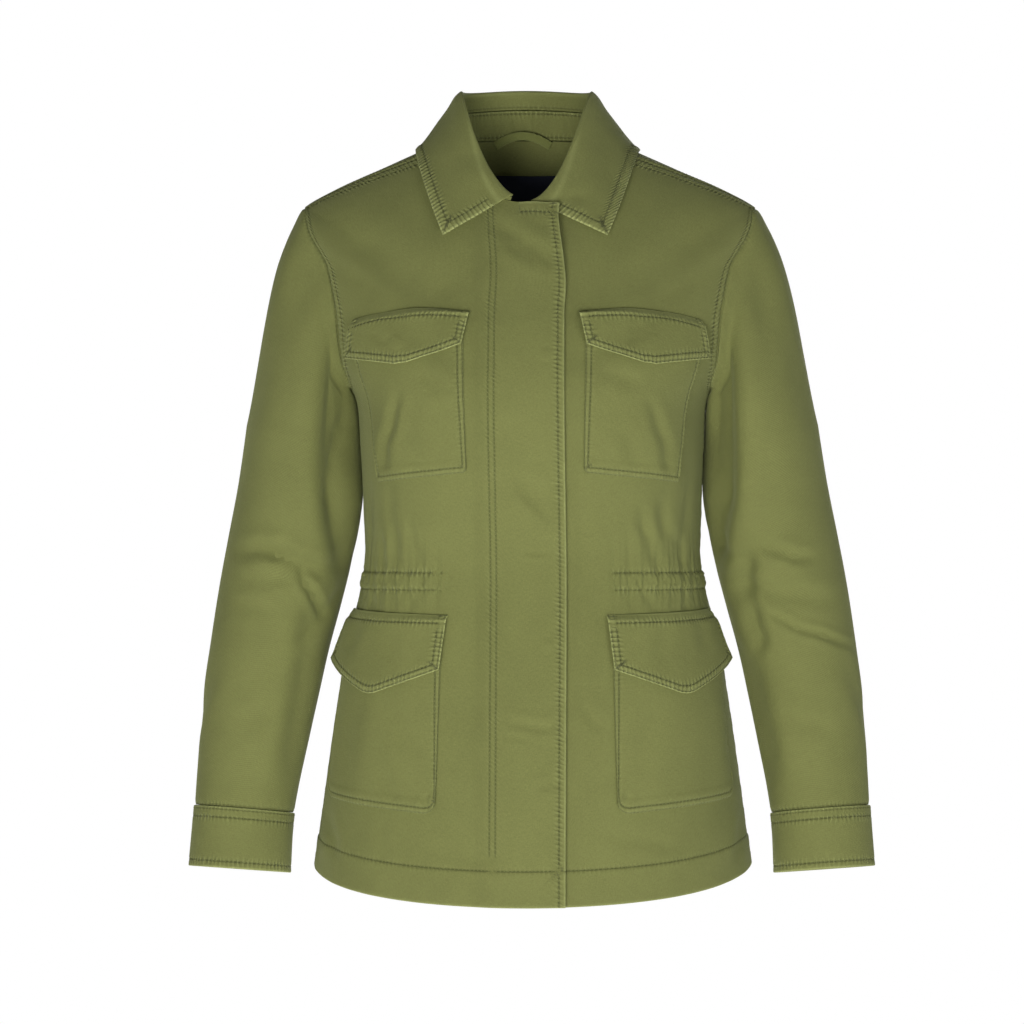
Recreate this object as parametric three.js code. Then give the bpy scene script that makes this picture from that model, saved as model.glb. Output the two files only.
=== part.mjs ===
// A woman's field jacket, worn-shaped and hollow, as its cut pieces.
// Millimetres: x to the wearer's left, y to the back, z up, zero between the two neck points of the shoulders.
import * as THREE from "three";

// Cloth and seams
const clothWall = 1.6; // body and sleeve cloth with its inner turnings
const doubleWall = 2.2; // collar, cuffs and flaps, two layers
const pocketWall = 1.4;
const pocketPuff = 1.2; // how far a pocket stands off at its middle
const seamGap = 0.35; // between pieces that meet at a seam
const patchGap = 0.6; // under pockets, flaps and the label
const standFootGap = 0.85; // under the collar stand, whose seam turns a corner
const leafFootGap = 0.7;

// Front closing: the wearer's right front laps over the left one
const lapRight = 35; // how far the top layer runs past the front centre
const lapTopNarrow = 11; // and how much less at the neck
const lapTopFade = 60;
const lapLeft = 25; // how far the hidden layer runs past it
const lapRise = 3.2; // the top layer stands this far off the hidden one
const lapCornerRise = 7.5; // and lifts this much more at its free top corner
const lapCornerFade = 75; // down to nothing at this drop
const lapRampStart = 48; // x where the rise begins, on the wearer's right
const lapRampEnd = 31;
const lapNeckDip = 16; // keeps the lapped neck edge level

// Waist casing
const casingTop = 397;
const casingBottom = 411;
const casingStartAngle = 25; // degrees from the front centre
const gathersPerRadian = 16;
const gatherHeight = 0.9;
const gatherFadeUp = 38;
const gatherFadeDown = 18;

// Body rings, keyed by how far the side line lies below the neck points.
// sweep bends the ring from its side height to its front and back heights; square makes it boxier.
const bodyRings = [
  { drop: 0, halfWidth: 75, front: 82, back: 58, zFront: -67.5, zBack: 5, square: 0, sweep: 2 },
  { drop: 15, halfWidth: 109, front: 92, back: 67, zFront: -84, zBack: -18, square: -0.02, sweep: 2 },
  { drop: 31, halfWidth: 144.5, front: 103, back: 80, zFront: -104, zBack: -48, square: -0.03, sweep: 2 },
  { drop: 46, halfWidth: 177, front: 113, back: 90, zFront: -126, zBack: -76, square: -0.04, sweep: 2 },
  { drop: 62, halfWidth: 206, front: 122, back: 98, zFront: -150, zBack: -104, square: -0.05, sweep: 2 },
  { drop: 110, halfWidth: 201, front: 134, back: 108, zFront: -182, zBack: -146, square: -0.03, sweep: 2 },
  { drop: 150, halfWidth: 193, front: 141, back: 111, zFront: -208, zBack: -178, square: -0.01, sweep: 2 },
  { drop: 200, halfWidth: 180, front: 146, back: 110, zFront: -234, zBack: -216, square: 0.01, sweep: 2 },
  { drop: 236, halfWidth: 162, front: 146, back: 107, zFront: -254, zBack: -244, square: 0.03, sweep: 2 },
  { drop: 280, halfWidth: 157.5, front: 141, back: 101, zFront: -287, zBack: -283, square: 0.04, sweep: 2 },
  { drop: 342, halfWidth: 155, front: 128, back: 92, zFront: -343, zBack: -343, square: 0.04, sweep: 2 },
  { drop: 390, halfWidth: 154, front: 118, back: 87, zFront: -390, zBack: -390, square: 0.04, sweep: 2 },
  { drop: 415, halfWidth: 158, front: 118, back: 90, zFront: -415, zBack: -415, square: 0.04, sweep: 2 },
  { drop: 449, halfWidth: 168, front: 122, back: 98, zFront: -450, zBack: -450, square: 0.03, sweep: 2 },
  { drop: 515, halfWidth: 179.5, front: 130, back: 110, zFront: -519, zBack: -518, square: 0.03, sweep: 1.8 },
  { drop: 592, halfWidth: 190.5, front: 136, back: 117, zFront: -606, zBack: -602, square: 0.02, sweep: 1.5 },
  { drop: 636, halfWidth: 196.5, front: 139, back: 119, zFront: -659, zBack: -652, square: 0.02, sweep: 1.3 },
  { drop: 664, halfWidth: 200, front: 140, back: 120, zFront: -692, zBack: -684, square: 0.02, sweep: 1.2 },
];

// Shoulder seam: it lies a little forward of the ridge, in degrees from the front centre.
const shoulderSeam = [
  { drop: 0, angle: 68 },
  { drop: 15, angle: 73 },
  { drop: 40, angle: 81 },
  { drop: 62, angle: 87 },
];

// Armhole from the shoulder tip (0) to the underarm (1).
const armhole = [
  { way: 0, drop: 62, frontAngle: 87, backAngle: 87 },
  { way: 0.08, drop: 64, frontAngle: 80, backAngle: 94 },
  { way: 0.2, drop: 76, frontAngle: 72.5, backAngle: 102.5 },
  { way: 0.34, drop: 100, frontAngle: 68, backAngle: 109 },
  { way: 0.5, drop: 134, frontAngle: 65.5, backAngle: 113 },
  { way: 0.66, drop: 170, frontAngle: 66, backAngle: 113 },
  { way: 0.8, drop: 202, frontAngle: 70, backAngle: 108 },
  { way: 0.91, drop: 226, frontAngle: 78, backAngle: 100 },
  { way: 1, drop: 236, frontAngle: 90, backAngle: 90 },
];

// Sleeve rings square to the arm; tilt raises the outer side, pitch the front, in degrees.
const sleeveRings = [
  { drop: 275, x: 211.2, y: 8, halfWide: 53.3, halfDeep: 74, tilt: 14, pitch: 0 },
  { drop: 327, x: 214.7, y: 8, halfWide: 57.6, halfDeep: 70, tilt: 10, pitch: 1 },
  { drop: 372, x: 223, y: 7, halfWide: 58, halfDeep: 65, tilt: 9, pitch: 2 },
  { drop: 416, x: 232.5, y: 4, halfWide: 56.5, halfDeep: 61, tilt: 9, pitch: 4 },
  { drop: 460, x: 241.5, y: -1, halfWide: 54, halfDeep: 57, tilt: 8, pitch: 5 },
  { drop: 504, x: 249, y: -6, halfWide: 52, halfDeep: 53, tilt: 7, pitch: 6 },
  { drop: 548, x: 255.3, y: -12, halfWide: 49.3, halfDeep: 49, tilt: 6, pitch: 6 },
  { drop: 592, x: 261, y: -18, halfWide: 46.3, halfDeep: 45, tilt: 5, pitch: 6 },
  { drop: 616, x: 263.5, y: -21, halfWide: 45, halfDeep: 43, tilt: 4.5, pitch: 6 },
  { drop: 670, x: 267, y: -27, halfWide: 45.5, halfDeep: 41, tilt: 4, pitch: 6 },
];
const sleeveStart = 275;
const sleeveEnd = 613;
const cuffStart = 613.6;
const cuffEnd = 668;
const cuffStandOut = 1;

// How the sleeve leaves the armhole, straight off the panel by reach and beside that, and meets its first ring.
// turn is degrees round the sleeve: 0 outer, 90 front, 180 body side, 270 back.
const sleeveHead = [
  { turn: 0, reach: 0, outX: 116, outY: 0, outZ: -148, inX: 50, inZ: -196 },
  { turn: 90, reach: 22, outX: 45, outY: -24, outZ: -80, inX: 15, inZ: -120 },
  { turn: 180, reach: 12, outX: 14, outY: 0, outZ: 0, inX: -3, inZ: -45 },
  { turn: 270, reach: 22, outX: 45, outY: 26, outZ: -80, inX: 15, inZ: -120 },
  { turn: 360, reach: 0, outX: 116, outY: 0, outZ: -148, inX: 50, inZ: -196 },
];

// Collar guide rings: neck seam, stand top, roll line and outer edge of the leaf.
const standRing = { halfWidth: 67, front: 84, back: 54, zFront: -64.5, zSide: 26, zBack: 33 };
const rollRing = { halfWidth: 60.5, front: 86, back: 52, zFront: -63.5, zSide: 44, zBack: 50 };
const edgeRing = { halfWidth: 103.5, front: 141, back: 84, zFront: -182, zSide: -9, zBack: -16 };
const collarEndLeft = 5; // the collar stops this far from the front centre
const collarEndRight = 10.5;
const collarPointAngle = 45.5; // the leaf's point on the edge ring
const rollRound = 3; // radius of the leaf's roll, less at its front ends
const rollRoundEnd = 0.8;
const leafWall = 1.8;
const leafBulge = 1.5;

// Patches on the front: across is the girth from the front centre, down the height below the neck points.
const chestPocket = {
  topInner: 178, topOuter: 196, innerTop: 55, outerTop: 176, bottomInner: 307, bottomOuter: 316,
  innerBottom: 52, outerBottom: 147, corner: 9,
};
const hipPocket = {
  topInner: 449, topOuter: 442, innerTop: 76, outerTop: 203, bottomInner: 611, bottomOuter: 600,
  innerBottom: 81, outerBottom: 216, corner: 12,
};
const chestFlap = {
  topInner: 163, topMiddle: 161, topOuter: 170, innerTop: 48, outerTop: 172,
  innerBottom: 55, outerBottom: 179, bottomInner: 194, bottomPoint: 212, bottomOuter: 203,
  freeRise: 1.2, outerRise: 0.6,
};
const flapRamp = 0.12; // share of its height in which a flap rises off the cloth, at its inner end
const flapRampOuter = 0.3;
const hipFlap = {
  topInner: 434, topMiddle: 432, topOuter: 430, innerTop: 70.5, outerTop: 202,
  innerBottom: 77, outerBottom: 210, bottomInner: 483, bottomPoint: 507, bottomOuter: 477,
  freeRise: 1.6, outerRise: 6,
};

// Hanger loop, its two ends in the back neck seam
const loopPath = [
  { x: -24.8, y: 50.9, z: 0.5 },
  { x: -18.4, y: 50, z: 5 },
  { x: -10.8, y: 49, z: 8 },
  { x: -3.3, y: 48.6, z: 9.1 },
  { x: 4.2, y: 49, z: 8 },
  { x: 11.8, y: 50, z: 5 },
  { x: 18.2, y: 50.9, z: 0.5 },
];

// Broad folds as soft troughs: where, how long and wide, and how they lean, in degrees and millimetres.
const bodyFolds = [
  { side: 1, angle: 34, drop: 128, lean: 55, length: 60, width: 20, depth: 2.5 },
  { side: -1, angle: 36, drop: 132, lean: 55, length: 55, width: 18, depth: 2.5 },
  { side: 1, angle: 62, drop: 350, lean: 8, length: 40, width: 9, depth: 2.2 },
  { side: -1, angle: 66, drop: 352, lean: -6, length: 38, width: 9, depth: 2.2 },
  { side: 1, angle: 47, drop: 352, lean: 4, length: 34, width: 8, depth: 1.8 },
  { side: -1, angle: 48, drop: 350, lean: -3, length: 34, width: 8, depth: 1.8 },
  { side: 1, angle: 128, drop: 345, lean: 10, length: 45, width: 12, depth: 2.6 },
  { side: -1, angle: 126, drop: 348, lean: -12, length: 45, width: 12, depth: 2.6 },
  { side: 1, angle: 140, drop: 200, lean: 30, length: 60, width: 20, depth: 2.2 },
  { side: -1, angle: 142, drop: 204, lean: -30, length: 60, width: 20, depth: 2.2 },
];
const sleeveFolds = [
  { side: -1, turn: 118, drop: 395, lean: 72, length: 42, width: 9, depth: 4.5 },
  { side: -1, turn: 150, drop: 428, lean: 35, length: 30, width: 8, depth: 3.5 },
  { side: 1, turn: 112, drop: 412, lean: 66, length: 44, width: 9, depth: 4 },
  { side: 1, turn: 150, drop: 370, lean: 60, length: 30, width: 9, depth: 3.5 },
  { side: -1, turn: 240, drop: 405, lean: -60, length: 40, width: 10, depth: 4 },
  { side: 1, turn: 244, drop: 400, lean: -62, length: 40, width: 10, depth: 4 },
  { side: -1, turn: 128, drop: 262, lean: 4, length: 70, width: 12, depth: 4 },
  { side: 1, turn: 128, drop: 262, lean: 4, length: 70, width: 12, depth: 4 },
];

// The jacket hangs a little off its centre line, more towards the hem.
const leanRows = [
  { height: -700, aside: 2.2 },
  { height: -400, aside: 2.2 },
  { height: -200, aside: 0.8 },
  { height: -60, aside: -1 },
  { height: 0, aside: -3 },
  { height: 60, aside: -4.2 },
];
const frontAside = 0.055; // and its front swings to the wearer's right, by this much of its depth
const bodyDegree = 2.35; // millimetres of girth to one degree, for placing folds
const sleeveDegree = 1.02;

const rad = THREE.MathUtils.degToRad;
const lerp = THREE.MathUtils.lerp;
const clamp = THREE.MathUtils.clamp;
const smooth = THREE.MathUtils.smoothstep;

// Reads a table at any place along its first column, with a smooth curve through its rows.
function tableReader(rows) {
  const [key, ...columns] = Object.keys(rows[0]);
  const slopes = rows.map((row, i) => {
    const before = rows[Math.max(i - 1, 0)];
    const after = rows[Math.min(i + 1, rows.length - 1)];
    const back = row[key] - before[key];
    const ahead = after[key] - row[key];
    return Object.fromEntries(columns.map((c) => {
      const slopeBack = back ? (row[c] - before[c]) / back : (after[c] - row[c]) / ahead;
      const slopeAhead = ahead ? (after[c] - row[c]) / ahead : slopeBack;
      return [c, (slopeBack * ahead + slopeAhead * back) / (back + ahead)];
    }));
  });
  return (place) => {
    let i = 0;
    while (i < rows.length - 2 && place > rows[i + 1][key]) i += 1;
    const step = rows[i + 1][key] - rows[i][key];
    const t = clamp((place - rows[i][key]) / step, 0, 1);
    const bend = t * t * (3 - 2 * t);
    const start = t * (1 - t) * (1 - t) * step;
    const end = -t * t * (1 - t) * step;
    return Object.fromEntries(columns.map((c) => [
      c,
      lerp(rows[i][c], rows[i + 1][c], bend) + slopes[i][c] * start + slopes[i + 1][c] * end,
    ]));
  };
}

const bodyRingAt = tableReader(bodyRings);
const shoulderSeamAt = tableReader(shoulderSeam);
const armholeAt = tableReader(armhole);
const sleeveRingAt = tableReader(sleeveRings);
const sleeveHeadAt = tableReader(sleeveHead);
const leanAt = tableReader(leanRows);

// One round trough, deepest on its own line.
function trough(fold, across, along) {
  const c = Math.cos(rad(fold.lean));
  const s = Math.sin(rad(fold.lean));
  const aside = (across * c + along * s) / fold.width;
  const onward = (along * c - across * s) / fold.length;
  return -fold.depth * Math.exp(-aside * aside - onward * onward);
}

// Body surface: angle in radians from the front centre, positive to the wearer's left.
function ringPoint(ring, angle, side) {
  const c = Math.cos(angle);
  const k = ring.square || 0;
  const reach = (c > 0 ? ring.front : ring.back) / (1 - k);
  return new THREE.Vector3(
    (ring.halfWidth * (Math.sin(angle) + k * Math.sin(3 * angle))) / (1 - k),
    -reach * (c - k * Math.cos(3 * angle)),
    side + ((c > 0 ? ring.zFront : ring.zBack) - side) * Math.abs(c) ** (ring.sweep || 2),
  );
}

const bodyPoint = (angle, drop) => ringPoint(bodyRingAt(drop), angle, -drop);

function surfaceNormal(surface, a, b, stepA, stepB) {
  const alongA = surface(a + stepA, b).sub(surface(a - stepA, b));
  const alongB = surface(a, b + stepB).sub(surface(a, b - stepB));
  return alongB.cross(alongA).normalize();
}

const bodyNormal = (angle, drop) => surfaceNormal(bodyPoint, angle, clamp(drop, 0.5, 663.5), 0.004, 0.5);

function bodyFoldDepth(angle, drop) {
  const turned = Math.atan2(Math.sin(angle), Math.cos(angle));
  const degrees = THREE.MathUtils.radToDeg(Math.abs(turned));
  return bodyFolds
    .filter((fold) => fold.side * turned > 0)
    .reduce((sum, fold) => sum + trough(fold, (degrees - fold.angle) * bodyDegree, drop - fold.drop), 0);
}

// A point of the cloth, moved off the body surface.
function onBody(angle, drop, out) {
  return bodyPoint(angle, drop).addScaledVector(bodyNormal(angle, drop), out + bodyFoldDepth(angle, drop));
}

function angleAtX(x, drop) {
  let low = -Math.PI / 2;
  let high = Math.PI / 2;
  for (let i = 0; i < 30; i += 1) {
    const middle = (low + high) / 2;
    if (bodyPoint(middle, drop).x < x) low = middle;
    else high = middle;
  }
  return low;
}

// The angle and drop of a place on the front given as girth from the front centre and height.
function placeOnFront(across, down) {
  const steps = 40;
  let drop = down;
  let angle = 0;
  for (let round = 0; round < 4; round += 1) {
    let run = 0;
    let last = bodyPoint(0, drop);
    angle = 0;
    for (let i = 1; i <= steps * 2 && run < across; i += 1) {
      const next = bodyPoint((i * Math.PI) / (2 * steps), drop);
      const length = Math.hypot(next.x - last.x, next.y - last.y);
      angle += (Math.min(1, (across - run) / length) * Math.PI) / (2 * steps);
      run += length;
      last = next;
    }
    drop += down + bodyPoint(angle, drop).z;
  }
  return { angle, drop };
}

// Solids from rows of points

// Joins two rows of points, each with its place s along the row, into triangles.
function joinRows(upper, lower, triangles) {
  let i = 0;
  let j = 0;
  while (i < upper.length - 1 || j < lower.length - 1) {
    const nextUpper = i < upper.length - 1 ? upper[i + 1].s : Infinity;
    const nextLower = j < lower.length - 1 ? lower[j + 1].s : Infinity;
    const isTie = Math.abs(nextUpper - nextLower) < 1e-6;
    const upperIsShort = isTie
      && upper[i + 1].p.distanceTo(lower[j].p) <= upper[i].p.distanceTo(lower[j + 1].p);
    if (isTie ? upperIsShort : nextUpper < nextLower) {
      triangles.push(upper[i].p, lower[j].p, upper[i + 1].p);
      i += 1;
    } else {
      triangles.push(upper[i].p, lower[j].p, lower[j + 1].p);
      j += 1;
    }
  }
}

// A closed wall between outer and inner rows; a tube has no side edges.
function wallSolid(outer, inner, isTube) {
  const triangles = [];
  const last = outer.length - 1;
  for (let i = 0; i < last; i += 1) {
    joinRows(outer[i], outer[i + 1], triangles);
    joinRows(inner[i + 1], inner[i], triangles);
  }
  joinRows(inner[0], outer[0], triangles);
  joinRows(outer[last], inner[last], triangles);
  if (!isTube) {
    const side = (rows, pick) => rows.map((row, i) => ({ p: pick(row).p, s: i }));
    joinRows(side(outer, (row) => row[0]), side(inner, (row) => row[0]), triangles);
    joinRows(side(inner, (row) => row.at(-1)), side(outer, (row) => row.at(-1)), triangles);
  }
  let volume = 0;
  for (let i = 0; i < triangles.length; i += 3) {
    volume += triangles[i].dot(new THREE.Vector3().crossVectors(triangles[i + 1], triangles[i + 2]));
  }
  if (volume < 0) triangles.reverse();
  return new THREE.BufferGeometry().setFromPoints(triangles);
}

const row = (points) => points.map((p, i) => ({ p, s: i / (points.length - 1) }));
const spread = (from, to, count) => Array.from({ length: count + 1 }, (_, i) => lerp(from, to, i / count));

// Front and back panels

const frontColumns = 8;
const backColumns = 20;
const shoulderDrops = [0, 7, 15, 30, 46];
const armholeRows = [
  { way: 0, centreDrop: 62 },
  { way: 0.1, centreDrop: 80 },
  { way: 0.2, centreDrop: 97 },
  { way: 0.32, centreDrop: 116 },
  { way: 0.44, centreDrop: 135 },
  { way: 0.56, centreDrop: 154 },
  { way: 0.68, centreDrop: 174 },
  { way: 0.8, centreDrop: 195 },
  { way: 0.9, centreDrop: 216 },
  { way: 1, centreDrop: 238 },
];
const sideDrops = [258, 285, 315, 342, 366];
const gatherDrops = [384, 397, 411, 420];
const skirtDrops = [432, 450, 480, 515, 555, 595, 636, 664];

// Where each row of a panel ends, in degrees from the front centre, and how its drop runs to that end.
function panelRows(which) {
  const level = (drop, end) => ({ end, gathers: gatherAmount(drop), dropAt: () => drop });
  return [
    ...shoulderDrops.map((drop) => level(drop, shoulderSeamAt(drop).angle)),
    ...armholeRows.map(({ way, centreDrop }) => {
      const edge = armholeAt(way);
      const dropAt = (share) => lerp(centreDrop, edge.drop, share * share);
      return { end: edge[which], gathers: 0, dropAt };
    }),
    ...[...sideDrops, ...gatherDrops, ...skirtDrops].map((drop) => level(drop, 90)),
  ];
}

function gatherAmount(drop) {
  const above = smooth(drop, casingTop - gatherFadeUp, casingTop);
  const below = 1 - smooth(drop, casingBottom, casingBottom + gatherFadeDown);
  return gatherHeight * above * below;
}

// Half the seam gap, as an angle at this ring.
const gapAngle = (drop) => (seamGap / 2) / bodyRingAt(drop).front;

// How far a front runs past the front centre.
function lapWidth(side, drop) {
  return side < 0 ? lapRight - lapTopNarrow * (1 - smooth(drop, 0, lapTopFade)) : lapLeft;
}

// The top layer's rise over the hidden one, by x towards the wearer's right and by drop.
function lapLift(x, drop) {
  const across = smooth(x, -lapRampStart, -lapRampEnd);
  const corner = smooth(x, -lapRampEnd, lapRight) * (1 - smooth(drop, 0, lapCornerFade));
  return lapRise * across + lapCornerRise * corner;
}

// A point of a front panel: side 1 is the wearer's left, angle runs from the front centre to the side.
function onFront(side, angle, drop, out) {
  const over = clamp(-angle / angleAtX(lapWidth(side, drop), drop), 0, 1);
  const lower = drop + lapNeckDip * over * over * Math.max(0, 1 - drop / 120);
  const lift = side < 0 ? lapLift(-bodyPoint(angle, lower).x, drop) : 0;
  return onBody(side * angle, lower, out + lift);
}

// Column angles of a front at one row: close together where the lap rises, then even to the end.
function frontColumnsTo(lap, drop, stop, count) {
  const near = [-lap, -12, 10, lapRampEnd, lapRampStart].map((x) => (
    x < 0 ? -angleAtX(-x, drop) : angleAtX(x, drop)
  ));
  return [...near.slice(0, -1), ...spread(near.at(-1), stop, count)];
}

function frontPanel(side) {
  const outer = [];
  const inner = [];
  for (const { end, gathers, dropAt } of panelRows("frontAngle")) {
    const stop = rad(end) - gapAngle(dropAt(1));
    const lap = lapWidth(side, dropAt(0));
    const angles = frontColumnsTo(lap, dropAt(0), stop, frontColumns);
    const start = angles[0];
    const place = (angle, out) => ({
      p: onFront(side, angle, dropAt(clamp(angle / stop, 0, 1)), out),
      s: (angle - start) / (stop - start),
    });
    inner.push(angles.map((angle) => place(angle, -clothWall)));
    if (!gathers) {
      outer.push(angles.map((angle) => place(angle, 0)));
      continue;
    }
    const casingStart = rad(casingStartAngle);
    const plain = frontColumnsTo(lap, dropAt(0), casingStart, 2).slice(0, -1);
    const count = Math.round((stop - casingStart) * gathersPerRadian) * 2;
    outer.push([
      ...plain.map((angle) => place(angle, 0)),
      ...spread(casingStart, stop, count).map((angle, i) => place(angle, i % 2 ? gathers : 0)),
    ]);
  }
  return wallSolid(outer, inner, false);
}

function backPanel() {
  const outer = [];
  const inner = [];
  for (const { end, gathers, dropAt } of panelRows("backAngle")) {
    const start = rad(end) + gapAngle(dropAt(1));
    const stop = 2 * Math.PI - start;
    const place = (angle, out) => {
      const share = clamp(Math.abs(angle - Math.PI) / (Math.PI - start), 0, 1);
      return onBody(angle, dropAt(share), out);
    };
    const count = Math.round((stop - start) * gathersPerRadian) * 2;
    const angles = spread(start, stop, gathers ? count : backColumns);
    outer.push(row(angles.map((angle, i) => place(angle, i % 2 ? gathers : 0))));
    inner.push(row(spread(start, stop, backColumns).map((angle) => place(angle, -clothWall))));
  }
  return wallSolid(outer, inner, false);
}

// Sleeves and cuffs, built for the wearer's left and mirrored by side

// The armhole seam at a turn round the sleeve: its point, the body normal and the way off the panel.
function armholeSeam(turn) {
  const isFront = turn <= 180;
  const way = (isFront ? turn : 360 - turn) / 180;
  const at = (w) => {
    const { drop, frontAngle, backAngle } = armholeAt(clamp(w, 0, 1));
    return { angle: rad(isFront ? frontAngle : backAngle), drop };
  };
  const here = at(way);
  const point = bodyPoint(here.angle, here.drop);
  const normal = bodyNormal(here.angle, here.drop);
  const before = at(way - 0.02);
  const after = at(way + 0.02);
  const along = bodyPoint(after.angle, after.drop).sub(bodyPoint(before.angle, before.drop));
  const centre = new THREE.Vector3(0, 0, -140);
  const away = new THREE.Vector3().crossVectors(along, normal).normalize();
  const hole = bodyPoint(Math.PI / 2, 140).sub(point);
  if (away.dot(hole) < 0 && point.distanceTo(centre) > 0) away.negate();
  return { point, normal, away };
}

function sleeveRingPoint(turn, drop, grow) {
  const ring = sleeveRingAt(drop);
  const angle = rad(turn);
  const outward = (ring.halfWide + grow) * Math.cos(angle);
  const forward = (ring.halfDeep + grow) * Math.sin(angle);
  return new THREE.Vector3(
    ring.x + outward * Math.cos(rad(ring.tilt)),
    ring.y - forward * Math.cos(rad(ring.pitch)),
    -drop + outward * Math.sin(rad(ring.tilt)) + forward * Math.sin(rad(ring.pitch)),
  );
}

// Sleeve surface: way 0 at the armhole, 1 at the first ring, then on down the arm.
function sleevePoint(turn, way) {
  if (way > 1) return sleeveRingPoint(turn, lerp(sleeveStart, sleeveEnd, way - 1), 0);
  const seam = armholeSeam(turn);
  const head = sleeveHeadAt(turn);
  const from = seam.point.addScaledVector(seam.away, seamGap);
  const to = sleeveRingPoint(turn, sleeveStart, 0);
  const t = clamp(way, 0, 1);
  const bend = t * t * (3 - 2 * t);
  const leave = t * (1 - t) * (1 - t);
  const arrive = -t * t * (1 - t);
  from.addScaledVector(seam.away, head.reach * leave);
  return from.lerp(to, bend).add(new THREE.Vector3(
    head.outX * leave + head.inX * arrive,
    head.outY * leave,
    head.outZ * leave + head.inZ * arrive,
  ));
}

function sleeveNormal(turn, way) {
  const round = (a) => (a + 360) % 360;
  const alongTurn = sleevePoint(round(turn + 1), way).sub(sleevePoint(round(turn - 1), way));
  const alongWay = sleevePoint(turn, way + 0.01).sub(sleevePoint(turn, Math.max(way - 0.01, 0)));
  return alongTurn.cross(alongWay).normalize();
}

function sleeveFoldDepth(side, turn, way) {
  const drop = way > 1 ? lerp(sleeveStart, sleeveEnd, way - 1) : lerp(150, sleeveStart, way);
  const fade = smooth(way, 0.1, 0.5) * (1 - smooth(way, 1.8, 2));
  return fade * sleeveFolds
    .filter((fold) => fold.side === side)
    .reduce((sum, fold) => sum + trough(fold, (turn - fold.turn) * sleeveDegree, drop - fold.drop), 0);
}

const sleeveWays = [
  0, 0.06, 0.16, 0.3, 0.45, 0.6, 0.8, 1,
  1.08, 1.16, 1.24, 1.3, 1.36, 1.42, 1.48, 1.56, 1.66, 1.78, 1.9, 2,
];

function sleeve(side) {
  const front = armholeRows.map(({ way }) => way * 180);
  const turns = [...front, ...front.slice(0, -1).reverse().map((turn) => 360 - turn)];
  const mirror = (p) => p.multiply(new THREE.Vector3(side, 1, 1));
  const outer = [];
  const inner = [];
  for (const way of sleeveWays) {
    const outerRow = [];
    const innerRow = [];
    for (const turn of turns) {
      const seamShare = 1 - smooth(way, 0, 0.14);
      const fold = sleeveFoldDepth(side, turn % 360, way);
      const normal = sleeveNormal(turn % 360, Math.max(way, 0.02));
      const inward = normal.clone().lerp(armholeSeam(turn % 360).normal, seamShare).normalize();
      const point = sleevePoint(turn % 360, way).addScaledVector(normal, fold);
      outerRow.push(mirror(point.clone()));
      innerRow.push(mirror(point.clone().addScaledVector(inward, -clothWall)));
    }
    outer.push(row(outerRow));
    inner.push(row(innerRow));
  }
  return wallSolid(outer, inner, true);
}

function cuff(side) {
  const turns = spread(0, 360, 24);
  const ringRow = (drop, grow) => row(turns.map((turn) => {
    const p = sleeveRingPoint(turn % 360, drop, grow);
    return p.multiply(new THREE.Vector3(side, 1, 1));
  }));
  const drops = [cuffStart, lerp(cuffStart, cuffEnd, 0.5), cuffEnd];
  const outer = drops.map((drop) => ringRow(drop, cuffStandOut));
  const inner = drops.map((drop) => ringRow(drop, cuffStandOut - doubleWall));
  return wallSolid(outer, inner, true);
}

// Collar

function collarAngle(place, leftEnd, rightEnd) {
  const side = place < 0 ? -1 : 1;
  return side * lerp(Math.PI, rad(side < 0 ? rightEnd : leftEnd), Math.abs(place));
}

const guidePoint = (ring, angle) => ringPoint(ring, angle, ring.zSide);
const neckRing = { ...bodyRings[0], zSide: 0 };
const collarPlaces = spread(-1, 1, 34);

// The top edge of the panels under the collar, and the stand's directions there.
function collarSeat(place) {
  const angle = collarAngle(place, collarEndLeft, collarEndRight);
  const side = place < 0 ? -1 : 1;
  const isFront = Math.abs(angle) < rad(shoulderSeamAt(0).angle);
  const seat = isFront ? onFront(side, Math.abs(angle), 0, 0) : onBody(angle, 0, 0);
  const shift = seat.clone().sub(guidePoint(neckRing, angle));
  const top = guidePoint(standRing, angle).add(shift);
  const rise = top.clone().sub(seat).normalize();
  const along = guidePoint(neckRing, angle + 0.02).sub(guidePoint(neckRing, angle - 0.02));
  const out = new THREE.Vector3().crossVectors(along, rise).normalize();
  if (out.x * seat.x + out.y * seat.y < 0) out.negate();
  return { angle, seat, top, rise, out, shift };
}

function stand() {
  const outer = [];
  const inner = [];
  for (const height of [0, 0.5, 1]) {
    const outerRow = [];
    const innerRow = [];
    for (const place of collarPlaces) {
      const { seat, top, rise, out } = collarSeat(place);
      const clear = lerp(standFootGap, -seamGap, height);
      const point = seat.lerp(top, height).addScaledVector(rise, clear);
      outerRow.push(point);
      innerRow.push(point.clone().addScaledVector(out, -doubleWall));
    }
    outer.push(row(outerRow));
    inner.push(row(innerRow));
  }
  return wallSolid(outer, inner, false);
}

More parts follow.
